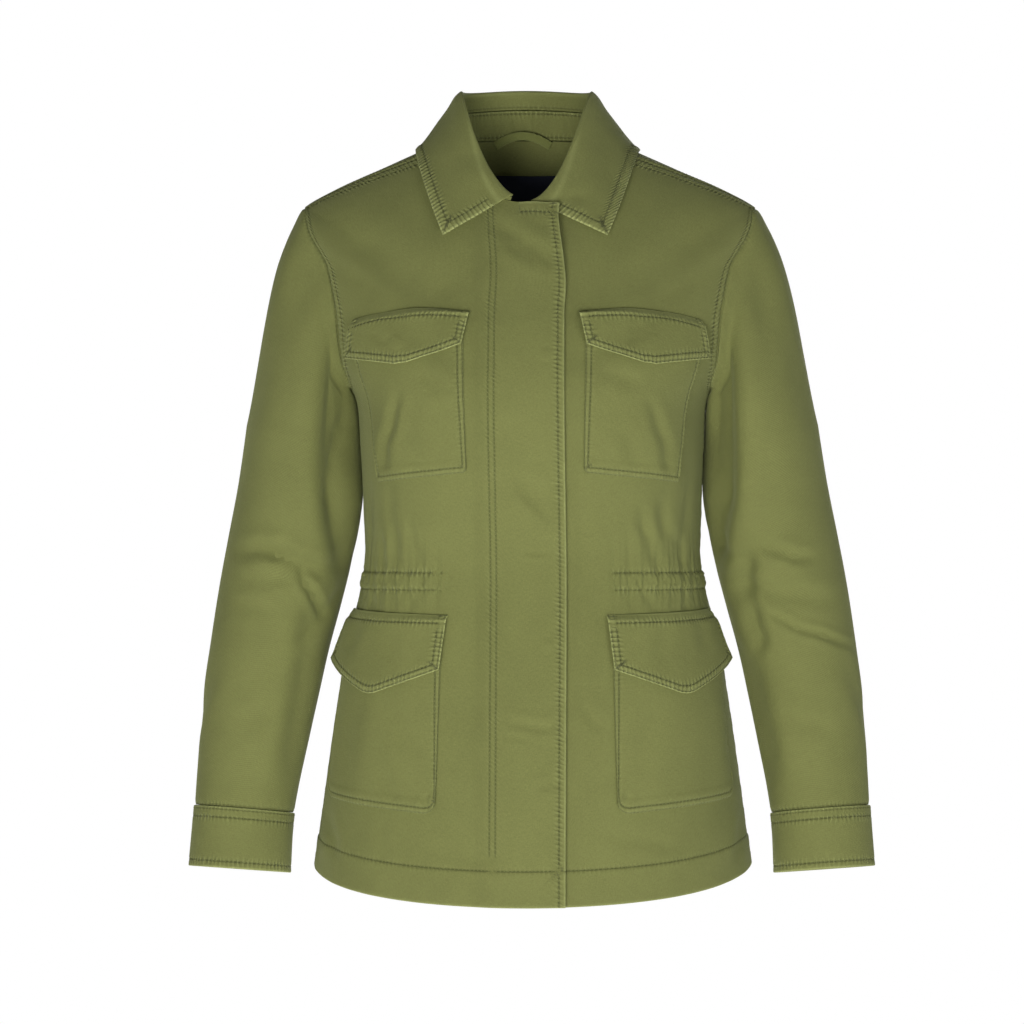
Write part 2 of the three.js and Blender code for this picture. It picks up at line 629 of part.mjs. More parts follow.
// The leaf's cross-section at one place: up from the stand, over the roll and down to the edge.
function leafSection(place) {
  const { angle, top, rise, out, shift } = collarSeat(place);
  const edge = guidePoint(edgeRing, collarAngle(place, collarPointAngle, collarPointAngle));
  const nearEnd = smooth(Math.abs(place), 0.8, 1);
  const round = lerp(rollRound, rollRoundEnd, nearEnd);
  const foot = top.clone().addScaledVector(out, -doubleWall).addScaledVector(rise, leafFootGap);
  const roll = guidePoint(rollRing, angle).add(shift).addScaledVector(out, -doubleWall);
  const up = roll.clone().sub(foot).normalize();
  const fall = edge.clone().sub(roll).normalize();
  const outward = fall.clone().addScaledVector(up, -fall.dot(up)).normalize();
  const crest = roll.clone().addScaledVector(outward, round).addScaledVector(up, round * 0.4);
  const beyond = roll.clone().addScaledVector(outward, 2 * round + leafWall).addScaledVector(fall, round);
  const bulge = beyond.clone().lerp(edge, 0.5).addScaledVector(outward, lerp(leafBulge, 0.6, nearEnd));
  return [
    foot,
    foot.clone().lerp(roll, 0.55),
    roll,
    crest,
    beyond,
    beyond.clone().lerp(bulge, 0.5).lerp(beyond.clone().lerp(edge, 0.25), 0.3),
    bulge,
    bulge.clone().lerp(edge, 0.5),
    edge,
  ];
}

function leaf() {
  const sections = collarPlaces.map(leafSection);
  const levels = sections[0].length;
  const outer = Array.from({ length: levels }, () => []);
  const inner = Array.from({ length: levels }, () => []);
  sections.forEach((section, i) => {
    const before = sections[Math.max(i - 1, 0)];
    const after = sections[Math.min(i + 1, sections.length - 1)];
    section.forEach((point, level) => {
      const around = after[level].clone().sub(before[level]);
      const next = section[Math.min(level + 1, levels - 1)];
      const along = next.clone().sub(section[Math.max(level - 1, 0)]);
      const normal = around.cross(along).normalize();
      outer[level].push(point);
      inner[level].push(point.clone().addScaledVector(normal, -leafWall));
    });
  });
  return wallSolid(outer.map(row), inner.map(row), false);
}

// Pockets and flaps: a patch is a grid of girth and height places with an offset from the cloth.
function patch(side, columns, heights, placeAt, wall) {
  const outer = [];
  const inner = [];
  for (const v of heights) {
    const outerRow = [];
    const innerRow = [];
    for (const u of spread(0, 1, columns)) {
      const { across, down, off } = placeAt(u, v);
      const { angle, drop } = placeOnFront(across, down);
      innerRow.push(onFront(side, angle, drop, off));
      outerRow.push(onFront(side, angle, drop, off + wall));
    }
    outer.push(row(outerRow));
    inner.push(row(innerRow));
  }
  return wallSolid(outer, inner, false);
}

function pocket(side, cut) {
  const width = cut.outerBottom - cut.innerBottom;
  return patch(side, 9, spread(0, 1, 8), (u, v) => {
    const fromSide = Math.min(u, 1 - u) * width;
    const roundOff = fromSide < cut.corner
      ? cut.corner - Math.sqrt(cut.corner ** 2 - (cut.corner - fromSide) ** 2)
      : 0;
    const bottom = lerp(cut.bottomInner, cut.bottomOuter, u) - roundOff;
    const puff = Math.sin(Math.PI * u) * Math.sin((Math.PI * (1 + v)) / 2);
    return {
      across: lerp(lerp(cut.innerTop, cut.outerTop, u), lerp(cut.innerBottom, cut.outerBottom, u), v),
      down: lerp(lerp(cut.topInner, cut.topOuter, u), bottom, v),
      off: patchGap + pocketPuff * puff,
    };
  }, pocketWall);
}

const flapShape = (u, cut) => (u < 0.5
  ? lerp(cut.bottomInner, cut.bottomPoint, u * 2)
  : lerp(cut.bottomPoint, cut.bottomOuter, u * 2 - 1));

function flap(side, cut) {
  const bow = cut.topMiddle - (cut.topInner + cut.topOuter) / 2;
  return patch(side, 10, [0, 0.12, 0.35, 0.65, 1], (u, v) => {
    const top = lerp(cut.topInner, cut.topOuter, u) + bow * Math.sin(Math.PI * u);
    const clear = pocketWall + pocketPuff + patchGap;
    const rampEnd = lerp(flapRamp, flapRampOuter, u * u);
    const off = patchGap + clear * smooth(v, 0, rampEnd) + cut.freeRise * v + cut.outerRise * u * v * v;
    return {
      across: lerp(lerp(cut.innerTop, cut.outerTop, u), lerp(cut.innerBottom, cut.outerBottom, u), v),
      down: lerp(top, flapShape(u, cut), v),
      off,
    };
  }, doubleWall);
}

// Hanger loop: a flat tape arched up from the back neck seam, inside the stand, facing the front.
function hangerLoop() {
  const halfTape = 3.2;
  const halfThick = 0.9;
  const arch = new THREE.CatmullRomCurve3(loopPath.map(({ x, y, z }) => new THREE.Vector3(x, y, z)));
  const outer = [];
  const inner = [];
  for (const t of spread(0, 1, 14)) {
    const middle = arch.getPoint(t);
    const tangent = arch.getTangent(t);
    const across = new THREE.Vector3(-tangent.z, 0, tangent.x).normalize();
    const rowAt = (y) => row([-1, 0, 1].map((share) => (
      middle.clone().addScaledVector(across, share * halfTape).setY(middle.y + y)
    )));
    outer.push(rowAt(-halfThick));
    inner.push(rowAt(halfThick));
  }
  return wallSolid(outer, inner, false);
}

// Plain woven label on the inside of the back.
function neckLabel() {
  const halfWide = 34;
  const tops = [26, 47, 68];
  const out = -clothWall - patchGap - 0.3;
  const face = (drop, off) => row(spread(-halfWide, halfWide, 6).map((x) => {
    const angle = Math.PI - x / bodyRingAt(drop).halfWidth;
    return onBody(angle, drop, off);
  }));
  const dropAtHeight = (down) => placeOnBack(down);
  const outer = tops.map((down) => face(dropAtHeight(down), out));
  const inner = tops.map((down) => face(dropAtHeight(down), out - 1));
  return wallSolid(outer, inner, false);
}

function placeOnBack(down) {
  let drop = down * 0.6;
  for (let i = 0; i < 8; i += 1) drop += (down + bodyPoint(Math.PI, drop).z) * 0.5;
  return Math.max(drop, 1);
}

// The jacket
const olive = new THREE.MeshStandardMaterial({ color: 0x737a45, roughness: 0.9, metalness: 0 });
const oliveDark = new THREE.MeshStandardMaterial({ color: 0x666d3c, roughness: 0.92, metalness: 0 });
const navy = new THREE.MeshStandardMaterial({ color: 0x0d1324, roughness: 0.7, metalness: 0 });

const jacket = new THREE.Group();
function add(name, geometry, material = olive) {
  const position = geometry.getAttribute("position");
  for (let i = 0; i < position.count; i += 1) {
    const aside = leanAt(position.getZ(i)).aside + frontAside * Math.min(position.getY(i), 0);
    position.setX(i, position.getX(i) + aside);
  }
  const mesh = new THREE.Mesh(geometry, material);
  mesh.name = name;
  geometry.computeVertexNormals();
  jacket.add(mesh);
}

const sides = [["left", 1], ["right", -1]];
add("back", backPanel());
for (const [name, side] of sides) {
  add(`front_${name}`, frontPanel(side));
  add(`sleeve_${name}`, sleeve(side));
  add(`cuff_${name}`, cuff(side));
  add(`chest_pocket_${name}`, pocket(side, chestPocket));
  add(`chest_flap_${name}`, flap(side, chestFlap));
  add(`hip_pocket_${name}`, pocket(side, hipPocket));
  add(`hip_flap_${name}`, flap(side, hipFlap));
}
add("collar_stand", stand());
add("collar_leaf", leaf());
add("hanger_loop", hangerLoop(), oliveDark);
add("neck_label", neckLabel(), navy);

export default jacket;
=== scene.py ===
import bpy
import numpy as np
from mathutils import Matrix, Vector


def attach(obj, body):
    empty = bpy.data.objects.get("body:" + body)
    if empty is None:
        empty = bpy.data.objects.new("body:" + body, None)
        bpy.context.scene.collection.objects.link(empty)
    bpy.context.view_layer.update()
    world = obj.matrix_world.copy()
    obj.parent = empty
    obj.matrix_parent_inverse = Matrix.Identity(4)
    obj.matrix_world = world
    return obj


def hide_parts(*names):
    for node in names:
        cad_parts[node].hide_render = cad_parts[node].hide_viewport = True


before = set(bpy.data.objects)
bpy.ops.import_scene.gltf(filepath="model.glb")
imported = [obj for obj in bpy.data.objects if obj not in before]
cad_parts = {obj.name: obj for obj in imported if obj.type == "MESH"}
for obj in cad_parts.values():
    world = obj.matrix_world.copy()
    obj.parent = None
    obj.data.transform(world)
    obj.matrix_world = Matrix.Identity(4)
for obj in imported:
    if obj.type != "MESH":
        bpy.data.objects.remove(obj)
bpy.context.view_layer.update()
print("frame loaded")

# Millimetres until a mesh is made: x to the wearer's left, y to the back, z up from the neck points.
# side is 1 on the wearer's left and -1 on the right. Angles run round the body from the front centre.


def smooth(value, low, high):
    t = np.clip((value - low) / (high - low), 0, 1)
    return t * t * (3 - 2 * t)


def blend(a, b, t):
    return a + (b - a) * t


# A smooth hump of height 1 about a middle.
def bell(value, middle, width):
    return np.exp(-(((value - middle) / width) ** 2))


def unit(vectors):
    return vectors / np.maximum(np.linalg.norm(vectors, axis=-1, keepdims=True), 1e-9)


# Reads a table at any place along its first column, on a smooth curve through its rows.
def tableReader(rows):
    rows = np.array(rows, float)
    key, values = rows[:, 0], rows[:, 1:]
    step = np.diff(key)[:, None]
    rise = np.diff(values, axis=0) / step
    between = (rise[:-1] * step[1:] + rise[1:] * step[:-1]) / (step[1:] + step[:-1])
    slope = np.concatenate([rise[:1], between, rise[-1:]])

    def read(place):
        place = np.asarray(place, float)
        i = np.clip(np.searchsorted(key, place) - 1, 0, len(key) - 2)
        t = np.clip((place - key[i]) / step[i, 0], 0, 1)[..., None]
        curve = blend(values[i], values[i + 1], t * t * (3 - 2 * t))
        curve = curve + slope[i] * t * (1 - t) ** 2 * step[i] - slope[i + 1] * t * t * (1 - t) * step[i]
        return np.moveaxis(curve, -1, 0)

    return read


# A wave with no repeat that the eye would catch, from -1 to 1.
def wobble(place, start=0.0):
    slow, quick = np.sin(2.17 * place + 1.7 * start), np.sin(4.31 * place + 2.9 * start)
    return (np.sin(place + start) + 0.6 * slow + 0.4 * quick) / 2


# The body that the jacket is filled out on, with the same sizes as the solids.
bodyForm = {
    # drop, half width, front, back, height at front, height at back, squareness, sweep
    "rings": [
        [0, 75, 82, 58, -67.5, 5, 0, 2],
        [15, 109, 92, 67, -84, -18, -0.02, 2],
        [31, 144.5, 103, 80, -104, -48, -0.03, 2],
        [46, 177, 113, 90, -126, -76, -0.04, 2],
        [62, 206, 122, 98, -150, -104, -0.05, 2],
        [110, 201, 134, 108, -182, -146, -0.03, 2],
        [150, 193, 141, 111, -208, -178, -0.01, 2],
        [200, 180, 146, 110, -234, -216, 0.01, 2],
        [236, 162, 146, 107, -254, -244, 0.03, 2],
        [280, 157.5, 141, 101, -287, -283, 0.04, 2],
        [342, 155, 128, 92, -343, -343, 0.04, 2],
        [390, 154, 118, 87, -390, -390, 0.04, 2],
        [415, 158, 118, 90, -415, -415, 0.04, 2],
        [449, 168, 122, 98, -450, -450, 0.03, 2],
        [515, 179.5, 130, 110, -519, -518, 0.03, 1.8],
        [592, 190.5, 136, 117, -606, -602, 0.02, 1.5],
        [636, 196.5, 139, 119, -659, -652, 0.02, 1.3],
        [664, 200, 140, 120, -692, -684, 0.02, 1.2],
    ],
    # height, how far the cloth lies to the wearer's left
    "lean": [[-700, 2.2], [-400, 2.2], [-200, 0.8], [-60, -1], [0, -3], [60, -4.2]],
    "frontAside": 0.055,  # the front swings to the wearer's right, by this much of its depth
    # drop, degrees from the front centre
    "shoulderSeam": [[0, 68], [15, 73], [40, 81], [62, 87]],
    # share of the way from shoulder tip to underarm, drop, degrees on the front, degrees on the back
    "armhole": [
        [0, 62, 87, 87],
        [0.08, 64, 80, 94],
        [0.2, 76, 72.5, 102.5],
        [0.34, 100, 68, 109],
        [0.5, 134, 65.5, 113],
        [0.66, 170, 66, 113],
        [0.8, 202, 70, 108],
        [0.91, 226, 78, 100],
        [1, 236, 90, 90],
    ],
    # drop at the centre of the panel, share of the way down the armhole
    "armholeRows": [
        [62, 0], [80, 0.1], [97, 0.2], [116, 0.32], [135, 0.44], [154, 0.56], [174, 0.68], [195, 0.8],
        [216, 0.9], [238, 1],
    ],
    "lastDrop": 664, "wall": 1.6, "seamGap": 0.35, "girthPerDegree": 2.35,
}
bodyRingAt = tableReader(bodyForm["rings"])
leanAt = tableReader(bodyForm["lean"])
shoulderSeamAt = tableReader(bodyForm["shoulderSeam"])
armholeAt = tableReader(bodyForm["armhole"])
wayAt = tableReader(bodyForm["armholeRows"])
shoulderTip = bodyForm["armholeRows"][0][0]
underarm = bodyForm["armholeRows"][-1][0]

# Where the photograph was taken from; creases are placed by the pixels they have in it.
photoView = {
    "distance": 3500, "x": -17.5, "z": -342, "millimetresPerPixel": 0.92, "middle": 512, "sensor": 36,
}


def hangAside(points):
    return leanAt(points[..., 2])[0] + bodyForm["frontAside"] * np.minimum(points[..., 1], 0)


def photoPixels(points):
    view = photoView
    scale = view["millimetresPerPixel"] * (view["distance"] + points[..., 1]) / view["distance"]
    x = points[..., 0] + hangAside(points) - photoView["x"]
    return photoView["middle"] + x / scale, photoView["middle"] - (points[..., 2] - photoView["z"]) / scale


def ringPoint(halfWidth, front, back, zFront, zBack, square, sweep, angle, zSide):
    c = np.cos(angle)
    reach = np.where(c > 0, front, back) / (1 - square)
    x = halfWidth * (np.sin(angle) + square * np.sin(3 * angle)) / (1 - square)
    y = -reach * (c - square * np.cos(3 * angle))
    z = zSide + (np.where(c > 0, zFront, zBack) - zSide) * np.abs(c) ** sweep
    return np.stack([x, y, z], -1)


def bodyPoint(angle, drop):
    angle, drop = np.broadcast_arrays(angle, drop)
    return ringPoint(*bodyRingAt(drop), angle, -drop)


def bodyNormal(angle, drop):
    angle, drop = np.broadcast_arrays(angle, np.clip(drop, 0.5, bodyForm["lastDrop"] - 0.5))
    alongAngle = bodyPoint(angle + 0.004, drop) - bodyPoint(angle - 0.004, drop)
    alongDrop = bodyPoint(angle, drop + 0.5) - bodyPoint(angle, drop - 0.5)
    return unit(np.cross(alongDrop, alongAngle))


def angleAtX(x, drop):
    x, drop = np.broadcast_arrays(np.asarray(x, float), drop)
    low, high = np.full(x.shape, -np.pi / 2), np.full(x.shape, np.pi / 2)
    for _ in range(30):
        middle = (low + high) / 2
        isShort = bodyPoint(middle, drop)[..., 0] < x
        low, high = np.where(isShort, middle, low), np.where(isShort, high, middle)
    return low


# One soft valley between two low ridges, along a line, with faded ends.
def creaseShape(across, along, length, width, depth):
    d = across / width
    t = along / length
    fade = smooth(t, -0.2, 0.3) * (1 - smooth(t, 0.7, 1.2))
    return -depth * fade * (bell(d, 0, 1) - 0.45 * bell(np.abs(d), 1.7, 1))


# Creases that the photograph shows, on the side of the piece that faces it.
def photoCreases(points, normals, creases, gain=1.0):
    px, py = photoPixels(points)
    facing = smooth(-normals[..., 1], 0.0, 0.35)
    total = np.zeros(px.shape)
    for x0, y0, x1, y1, width, depth in creases:
        length = np.hypot(x1 - x0, y1 - y0)
        ux, uy = (x1 - x0) / length, (y1 - y0) / length
        bow = min(0.05 * length, 3.5) * wobble(((px - x0) * ux + (py - y0) * uy) / length * 3, x0)
        across = (px - x0) * uy - (py - y0) * ux + bow
        total += facing * creaseShape(across, (px - x0) * ux + (py - y0) * uy, length, width, gain * depth)
    return total


# Round marks that press through the cloth, by photograph pixel, radius and rise.
def pressedRounds(points, marks, moat):
    px, py = photoPixels(points)
    total = np.zeros(px.shape)
    for x0, y0, radius, rise in marks:
        ring = np.hypot(px - x0, py - y0) / radius
        total = total + rise * (1 - smooth(ring, 0.75, 1.05)) - moat * rise * bell(ring, 1.1, 0.25)
    return total


# Creases where the photograph has none to follow: place, lean from upright in degrees, half length,
# width and depth.
def placedCreases(across, down, creases):
    total = np.zeros(np.broadcast(across, down).shape)
    for a0, d0, lean, halfLength, width, depth in creases:
        c, s = np.cos(np.radians(lean)), np.sin(np.radians(lean))
        aside = (across - a0) * c + (down - d0) * s
        onward = (down - d0) * c - (across - a0) * s
        aside = aside + 0.04 * halfLength * wobble(onward / 25, d0)
        total += creaseShape(aside, onward + halfLength, 2 * halfLength, width, depth)
    return total


def lengthsAlong(grid, axis):
    steps = np.linalg.norm(np.diff(grid, axis=axis), axis=-1)
    start = np.zeros_like(np.take(steps, [0], axis=axis))
    return np.concatenate([start, np.cumsum(steps, axis=axis)], axis=axis)


# Grid places along a length: fine at its ends, where the cloth's edge is rounded, and even between.
def edgedPlaces(length, step, isFineStart=True, isFineEnd=True):
    fine = np.array([0, 0.3, 0.7, 1.2, 2.0])
    start = fine if isFineStart else np.array([0.0])
    end = length - (fine[::-1] if isFineEnd else np.array([0.0]))
    count = max(2, int(round((end[0] - start[-1]) / step)))
    return np.concatenate([start, np.linspace(start[-1], end[0], count + 1)[1:-1], end])


def roundedEdge(distance, radius=1.1):
    near = np.clip(distance / radius, 0, 1)
    return 1 - np.sqrt(np.clip(1 - (1 - near) ** 2, 0, 1))


# Outer and inner faces of cloth about an outer grid, with its open edges rounded off.
def clothFaces(grid, normals, wall, edgeDistance):
    close = 0.42 * wall * roundedEdge(edgeDistance)[..., None]
    return grid - normals * close, grid - normals * (wall - close)


def gridNormals(grid, isTube=False):
    if isTube:
        ring = grid[:, :-1]
        across = np.roll(ring, -1, axis=1) - np.roll(ring, 1, axis=1)
        across = np.concatenate([across, across[:, :1]], axis=1)
    else:
        across = np.gradient(grid, axis=1)
    return unit(np.cross(np.gradient(grid, axis=0), across))


def toMetres(points):
    points = np.array(points, float)
    points[..., 0] += hangAside(points)
    return points / 1000


def addObject(name, data):
    thing = bpy.data.objects.new(name, data)
    bpy.context.collection.objects.link(thing)
    return thing


# A closed shell: a fine outer face, a coarser inner one and a rim between them.
def makeShell(name, outer, inner, seams, wear, skip=4, isTube=False):
    rowCount, columnCount = outer.shape[:2]
    rowPicks = np.unique(np.append(np.arange(0, rowCount, skip), rowCount - 1))
    columnPicks = np.unique(np.append(np.arange(0, columnCount, skip), columnCount - 1))
    corner = np.arange(rowCount * columnCount).reshape(rowCount, columnCount)
    innerShape = (len(rowPicks), len(columnPicks))
    innerCorner = corner.size + np.arange(innerShape[0] * innerShape[1]).reshape(innerShape)

    def quads(c):
        return np.stack([c[:-1, :-1], c[1:, :-1], c[1:, 1:], c[:-1, 1:]], -1).reshape(-1, 4)

    faces = quads(corner).tolist() + quads(innerCorner)[:, ::-1].tolist()

    def rim(fine, coarse, picks, isForward):
        for k in range(len(picks) - 1):
            a, b = picks[k], picks[k + 1]
            middle = (a + b) // 2
            strips = [[fine[f], fine[f + 1], coarse[k] if f < middle else coarse[k + 1]] for f in range(a, b)]
            strips.append([fine[middle], coarse[k + 1], coarse[k]])
            faces.extend(strip if isForward else strip[::-1] for strip in strips)

    rim(corner[0], innerCorner[0], columnPicks, True)
    rim(corner[-1], innerCorner[-1], columnPicks, False)
    if not isTube:
        rim(corner[:, 0], innerCorner[:, 0], rowPicks, False)
        rim(corner[:, -1], innerCorner[:, -1], rowPicks, True)

    pick = np.ix_(rowPicks, columnPicks)
    points = np.concatenate([outer.reshape(-1, 3), inner[pick].reshape(-1, 3)])
    across = lengthsAlong(outer, 1) - lengthsAlong(outer, 1)[:, columnCount // 2][:, None]
    weave = np.stack([across, lengthsAlong(outer, 0)], -1) / 1000
    weave = np.concatenate([weave.reshape(-1, 2), weave[pick].reshape(-1, 2)])
    seamField = np.concatenate([seams.reshape(-1, 5), seams[pick].reshape(-1, 5) * [1, 1, 1, 0, 1]])
    wearField = np.concatenate([wear.reshape(-1), wear[pick].reshape(-1) * 0.4])
    vertexOf = np.arange(len(points))
    if isTube:
        vertexOf[corner[:, -1]] = corner[:, 0]
        vertexOf[innerCorner[:, -1]] = innerCorner[:, 0]
        used, vertexOf = np.unique(vertexOf, return_inverse=True)
        points = points[used]
    down, right = outer[1:, :-1] - outer[:-1, :-1], outer[:-1, 1:] - outer[:-1, :-1]
    if np.sum(np.cross(down, right) * (outer - inner)[:-1, :-1]) < 0:
        faces = [face[::-1] for face in faces]
    cornerOf = np.concatenate([np.array(face) for face in faces])

    mesh = bpy.data.meshes.new(name)
    mesh.from_pydata(toMetres(points), [], [[int(vertexOf[c]) for c in face] for face in faces])
    uv = mesh.uv_layers.new(name="clothPlace")
    uv.data.foreach_set("uv", weave[cornerOf].ravel())
    for layer, kind, field, values in (
        ("seam", "FLOAT_VECTOR", "vector", seamField[cornerOf, :3].ravel()),
        ("seamStrength", "FLOAT", "value", seamField[cornerOf, 3]),
        ("pucker", "FLOAT", "value", seamField[cornerOf, 4]),
        ("wear", "FLOAT", "value", np.clip(wearField[cornerOf], 0, 1)),
    ):
        mesh.attributes.new(layer, kind, "CORNER").data.foreach_set(field, values)
    mesh.shade_smooth()
    mesh.set_sharp_from_angle(angle=np.radians(70))
    return addObject(name, mesh)


farOff = 999  # a distance to a stitched row that isn't there


# Of several stitched lines, the nearest at each point: across it, along it, half the gap of a double row,
# strength and how much the cloth puckers along it.
# A single row keeps its sign, so that the row falls in the right place between two points of the grid.
def nearestSeam(shape, lines):
    fields = np.stack([np.stack([np.broadcast_to(part, shape) for part in line], -1) for line in lines])
    fields = np.array(fields, float)
    isDouble = fields[..., 2] > 0
    fields[..., 0] = np.clip(np.where(isDouble, np.abs(fields[..., 0]), fields[..., 0]), -15, 15)
    reach = np.abs(fields[..., 0])
    field = np.take_along_axis(fields, reach.argmin(axis=0)[None, ..., None], axis=0)[0]
    field[..., 3] *= 1 - smooth(np.abs(field[..., 0]), 9, 13)
    if len(lines) > 1:
        closest = np.sort(reach, axis=0)
        field[..., 3] *= smooth(closest[1] - closest[0], 0.5, 4.0)  # rows fade where they cross
    return field


def unstitched(grid):
    seams = np.zeros(grid.shape[:2] + (5,))
    seams[..., 0] = farOff
    return seams


def sampleGrid(grid, i, j):
    i, j = np.broadcast_arrays(np.asarray(i, float), j)
    i0 = np.clip(np.floor(i).astype(int), 0, grid.shape[0] - 2)
    j0 = np.clip(np.floor(j).astype(int), 0, grid.shape[1] - 2)
    a, b = (i - i0)[..., None], (j - j0)[..., None]
    first, second = blend(grid[i0, j0], grid[i0, j0 + 1], b), blend(grid[i0 + 1, j0], grid[i0 + 1, j0 + 1], b)
    return blend(first, second, a)


# The place along each row (or column) of a distance grid where it reaches a value.
def whereReached(distance, value, isGrowing=True):
    places = np.arange(distance.shape[1])
    if isGrowing:
        return np.array([np.interp(value, line, places) for line in distance])
    return np.array([np.interp(value, line[::-1], places[::-1]) for line in distance])


threadStitch = {"pitch": 3.5, "length": 2.7, "width": 0.75, "height": 0.42, "sunk": 0.25}


# Every stitch is one small grain of thread, lying along its row; a piece's stitches are one mesh.
def makeStitches(name, outer, rows, normals, material, look=threadStitch):
    points, faces = [], []
    for i, j in rows:
        path, up = sampleGrid(outer, i, j), unit(sampleGrid(normals, i, j))
        run = np.concatenate([[0], np.cumsum(np.linalg.norm(np.diff(path, axis=0), axis=1))])
        if run[-1] < look["pitch"]:
            continue
        centres = np.arange(look["pitch"] / 2, run[-1], look["pitch"])

        def pathAt(places):
            return np.stack([np.interp(places, run, path[:, k]) for k in range(3)], -1)

        centre = pathAt(centres)
        normal = unit(np.stack([np.interp(centres, run, up[:, k]) for k in range(3)], -1))
        ahead = unit(pathAt(centres + 1) - pathAt(centres - 1))
        aside = np.cross(normal, ahead)
        ahead = unit(ahead + 0.06 * wobble(centres)[:, None] * aside)
        half, wide = ahead * look["length"] / 2, aside * look["width"] / 2
        grain = np.stack([
            centre - half - normal * look["sunk"],
            centre + wide,
            centre + normal * look["height"],
            centre - wide,
            centre - normal * look["sunk"],
            centre + half - normal * look["sunk"],
        ], 1)
        start = len(points)
        for k in range(len(grain)):
            base = start + 6 * k
            faces += [[base, base + a, base + b] for a, b in ((2, 1), (3, 2), (4, 3), (1, 4))]
            faces += [[base + 5, base + a, base + b] for a, b in ((1, 2), (2, 3), (3, 4), (4, 1))]
        points.extend(grain.reshape(-1, 3))
    mesh = bpy.data.meshes.new(name)
    mesh.from_pydata(toMetres(points), [], faces)
    mesh.shade_smooth()
    mesh.materials.append(material)
    piece = addObject(name, mesh)
    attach(piece, "root")
    return piece


# Finishes: garment-washed twill, with effects shared as node groups
def socketsFor(group, kind, sockets):
    for name, socketType, value in sockets:
        socket = group.interface.new_socket(name=name, in_out=kind, socket_type="NodeSocket" + socketType)
        if value is not None:
            socket.default_value = value


def newGroup(name, inputs, outputs):
    group = bpy.data.node_groups.new(name, "ShaderNodeTree")
    socketsFor(group, "INPUT", inputs)
    socketsFor(group, "OUTPUT", outputs)
    return group, group.nodes.new("NodeGroupInput"), group.nodes.new("NodeGroupOutput")


def mathNode(tree, operation, first, second=None, third=None):
    node = tree.nodes.new("ShaderNodeMath")
    node.operation = operation
    for socket, value in zip(node.inputs, (first, second, third)):
        if value is None:
            continue
        if isinstance(value, (int, float)):
            socket.default_value = value
        else:
            tree.links.new(value, socket)
    return node.outputs[0]


def noiseNode(tree, vector, scale, detail=2.0, roughness=0.5):
    node = tree.nodes.new("ShaderNodeTexNoise")
    node.inputs["Scale"].default_value = scale
    node.inputs["Detail"].default_value = detail
    node.inputs["Roughness"].default_value = roughness
    tree.links.new(vector, node.inputs["Vector"])
    return node.outputs["Fac"]


def stretchedPlace(tree, vector, scale):
    node = tree.nodes.new("ShaderNodeVectorMath")
    node.operation = "MULTIPLY"
    node.inputs[1].default_value = scale
    tree.links.new(vector, node.inputs[0])
    return node.outputs[0]


# The sum of two values, each times its share.
def addShares(tree, first, firstShare, second, secondShare):
    return mathNode(tree, "MULTIPLY_ADD", first, firstShare, mathNode(tree, "MULTIPLY", second, secondShare))


# A smooth hump of height 1 where the value is 0.
def bellNode(tree, value, width):
    part = mathNode(tree, "DIVIDE", value, width)
    square = mathNode(tree, "MULTIPLY", part, part)
    return mathNode(tree, "EXPONENT", mathNode(tree, "MULTIPLY", square, -1.0))


def makeTwillWeave():
    group, inward, outward = newGroup(
        "twillWeave",
        [("Cloth Place", "Vector", None), ("Rib Width", "Float", 0.0011)],
        [("Height", "Float", None), ("Shade", "Float", None)],
    )
    split = group.nodes.new("ShaderNodeSeparateXYZ")
    group.links.new(inward.outputs["Cloth Place"], split.inputs[0])
    diagonal = mathNode(group, "ADD", split.outputs[0], mathNode(group, "MULTIPLY", split.outputs[1], 0.55))
    turns = mathNode(group, "DIVIDE", diagonal, inward.outputs["Rib Width"])
    rib = mathNode(group, "SINE", mathNode(group, "MULTIPLY", turns, 6.283))
    clothPlace = inward.outputs["Cloth Place"]
    slubs = noiseNode(group, stretchedPlace(group, clothPlace, (1.0, 0.35, 1.0)), 1150.0, 2.0, 0.6)
    picks = noiseNode(group, stretchedPlace(group, clothPlace, (0.3, 1.0, 1.0)), 950.0, 1.0, 0.6)
    slubs = addShares(group, slubs, 1.2, picks, 0.8)
    height = mathNode(group, "MULTIPLY_ADD", rib, 0.22, slubs)
    group.links.new(height, outward.inputs["Height"])
    shade = mathNode(group, "MULTIPLY_ADD", mathNode(group, "SUBTRACT", height, 1.0), 1.3, 0.5)
    group.links.new(shade, outward.inputs["Shade"])
    return group


def makeWashMottle():
    group, inward, outward = newGroup(
        "washMottle",
        [("Object Place", "Vector", None)],
        [("Shade", "Float", None), ("Crumple", "Float", None)],
    )
    broad = noiseNode(group, inward.outputs["Object Place"], 7.0, 3.0, 0.55)
    cloudy = noiseNode(group, inward.outputs["Object Place"], 34.0, 4.0, 0.6)
    group.links.new(addShares(group, broad, 0.55, cloudy, 0.45), outward.inputs["Shade"])
    crumple = noiseNode(group, inward.outputs["Object Place"], 120.0, 3.0, 0.55)
    group.links.new(crumple, outward.inputs["Crumple"])
    return group


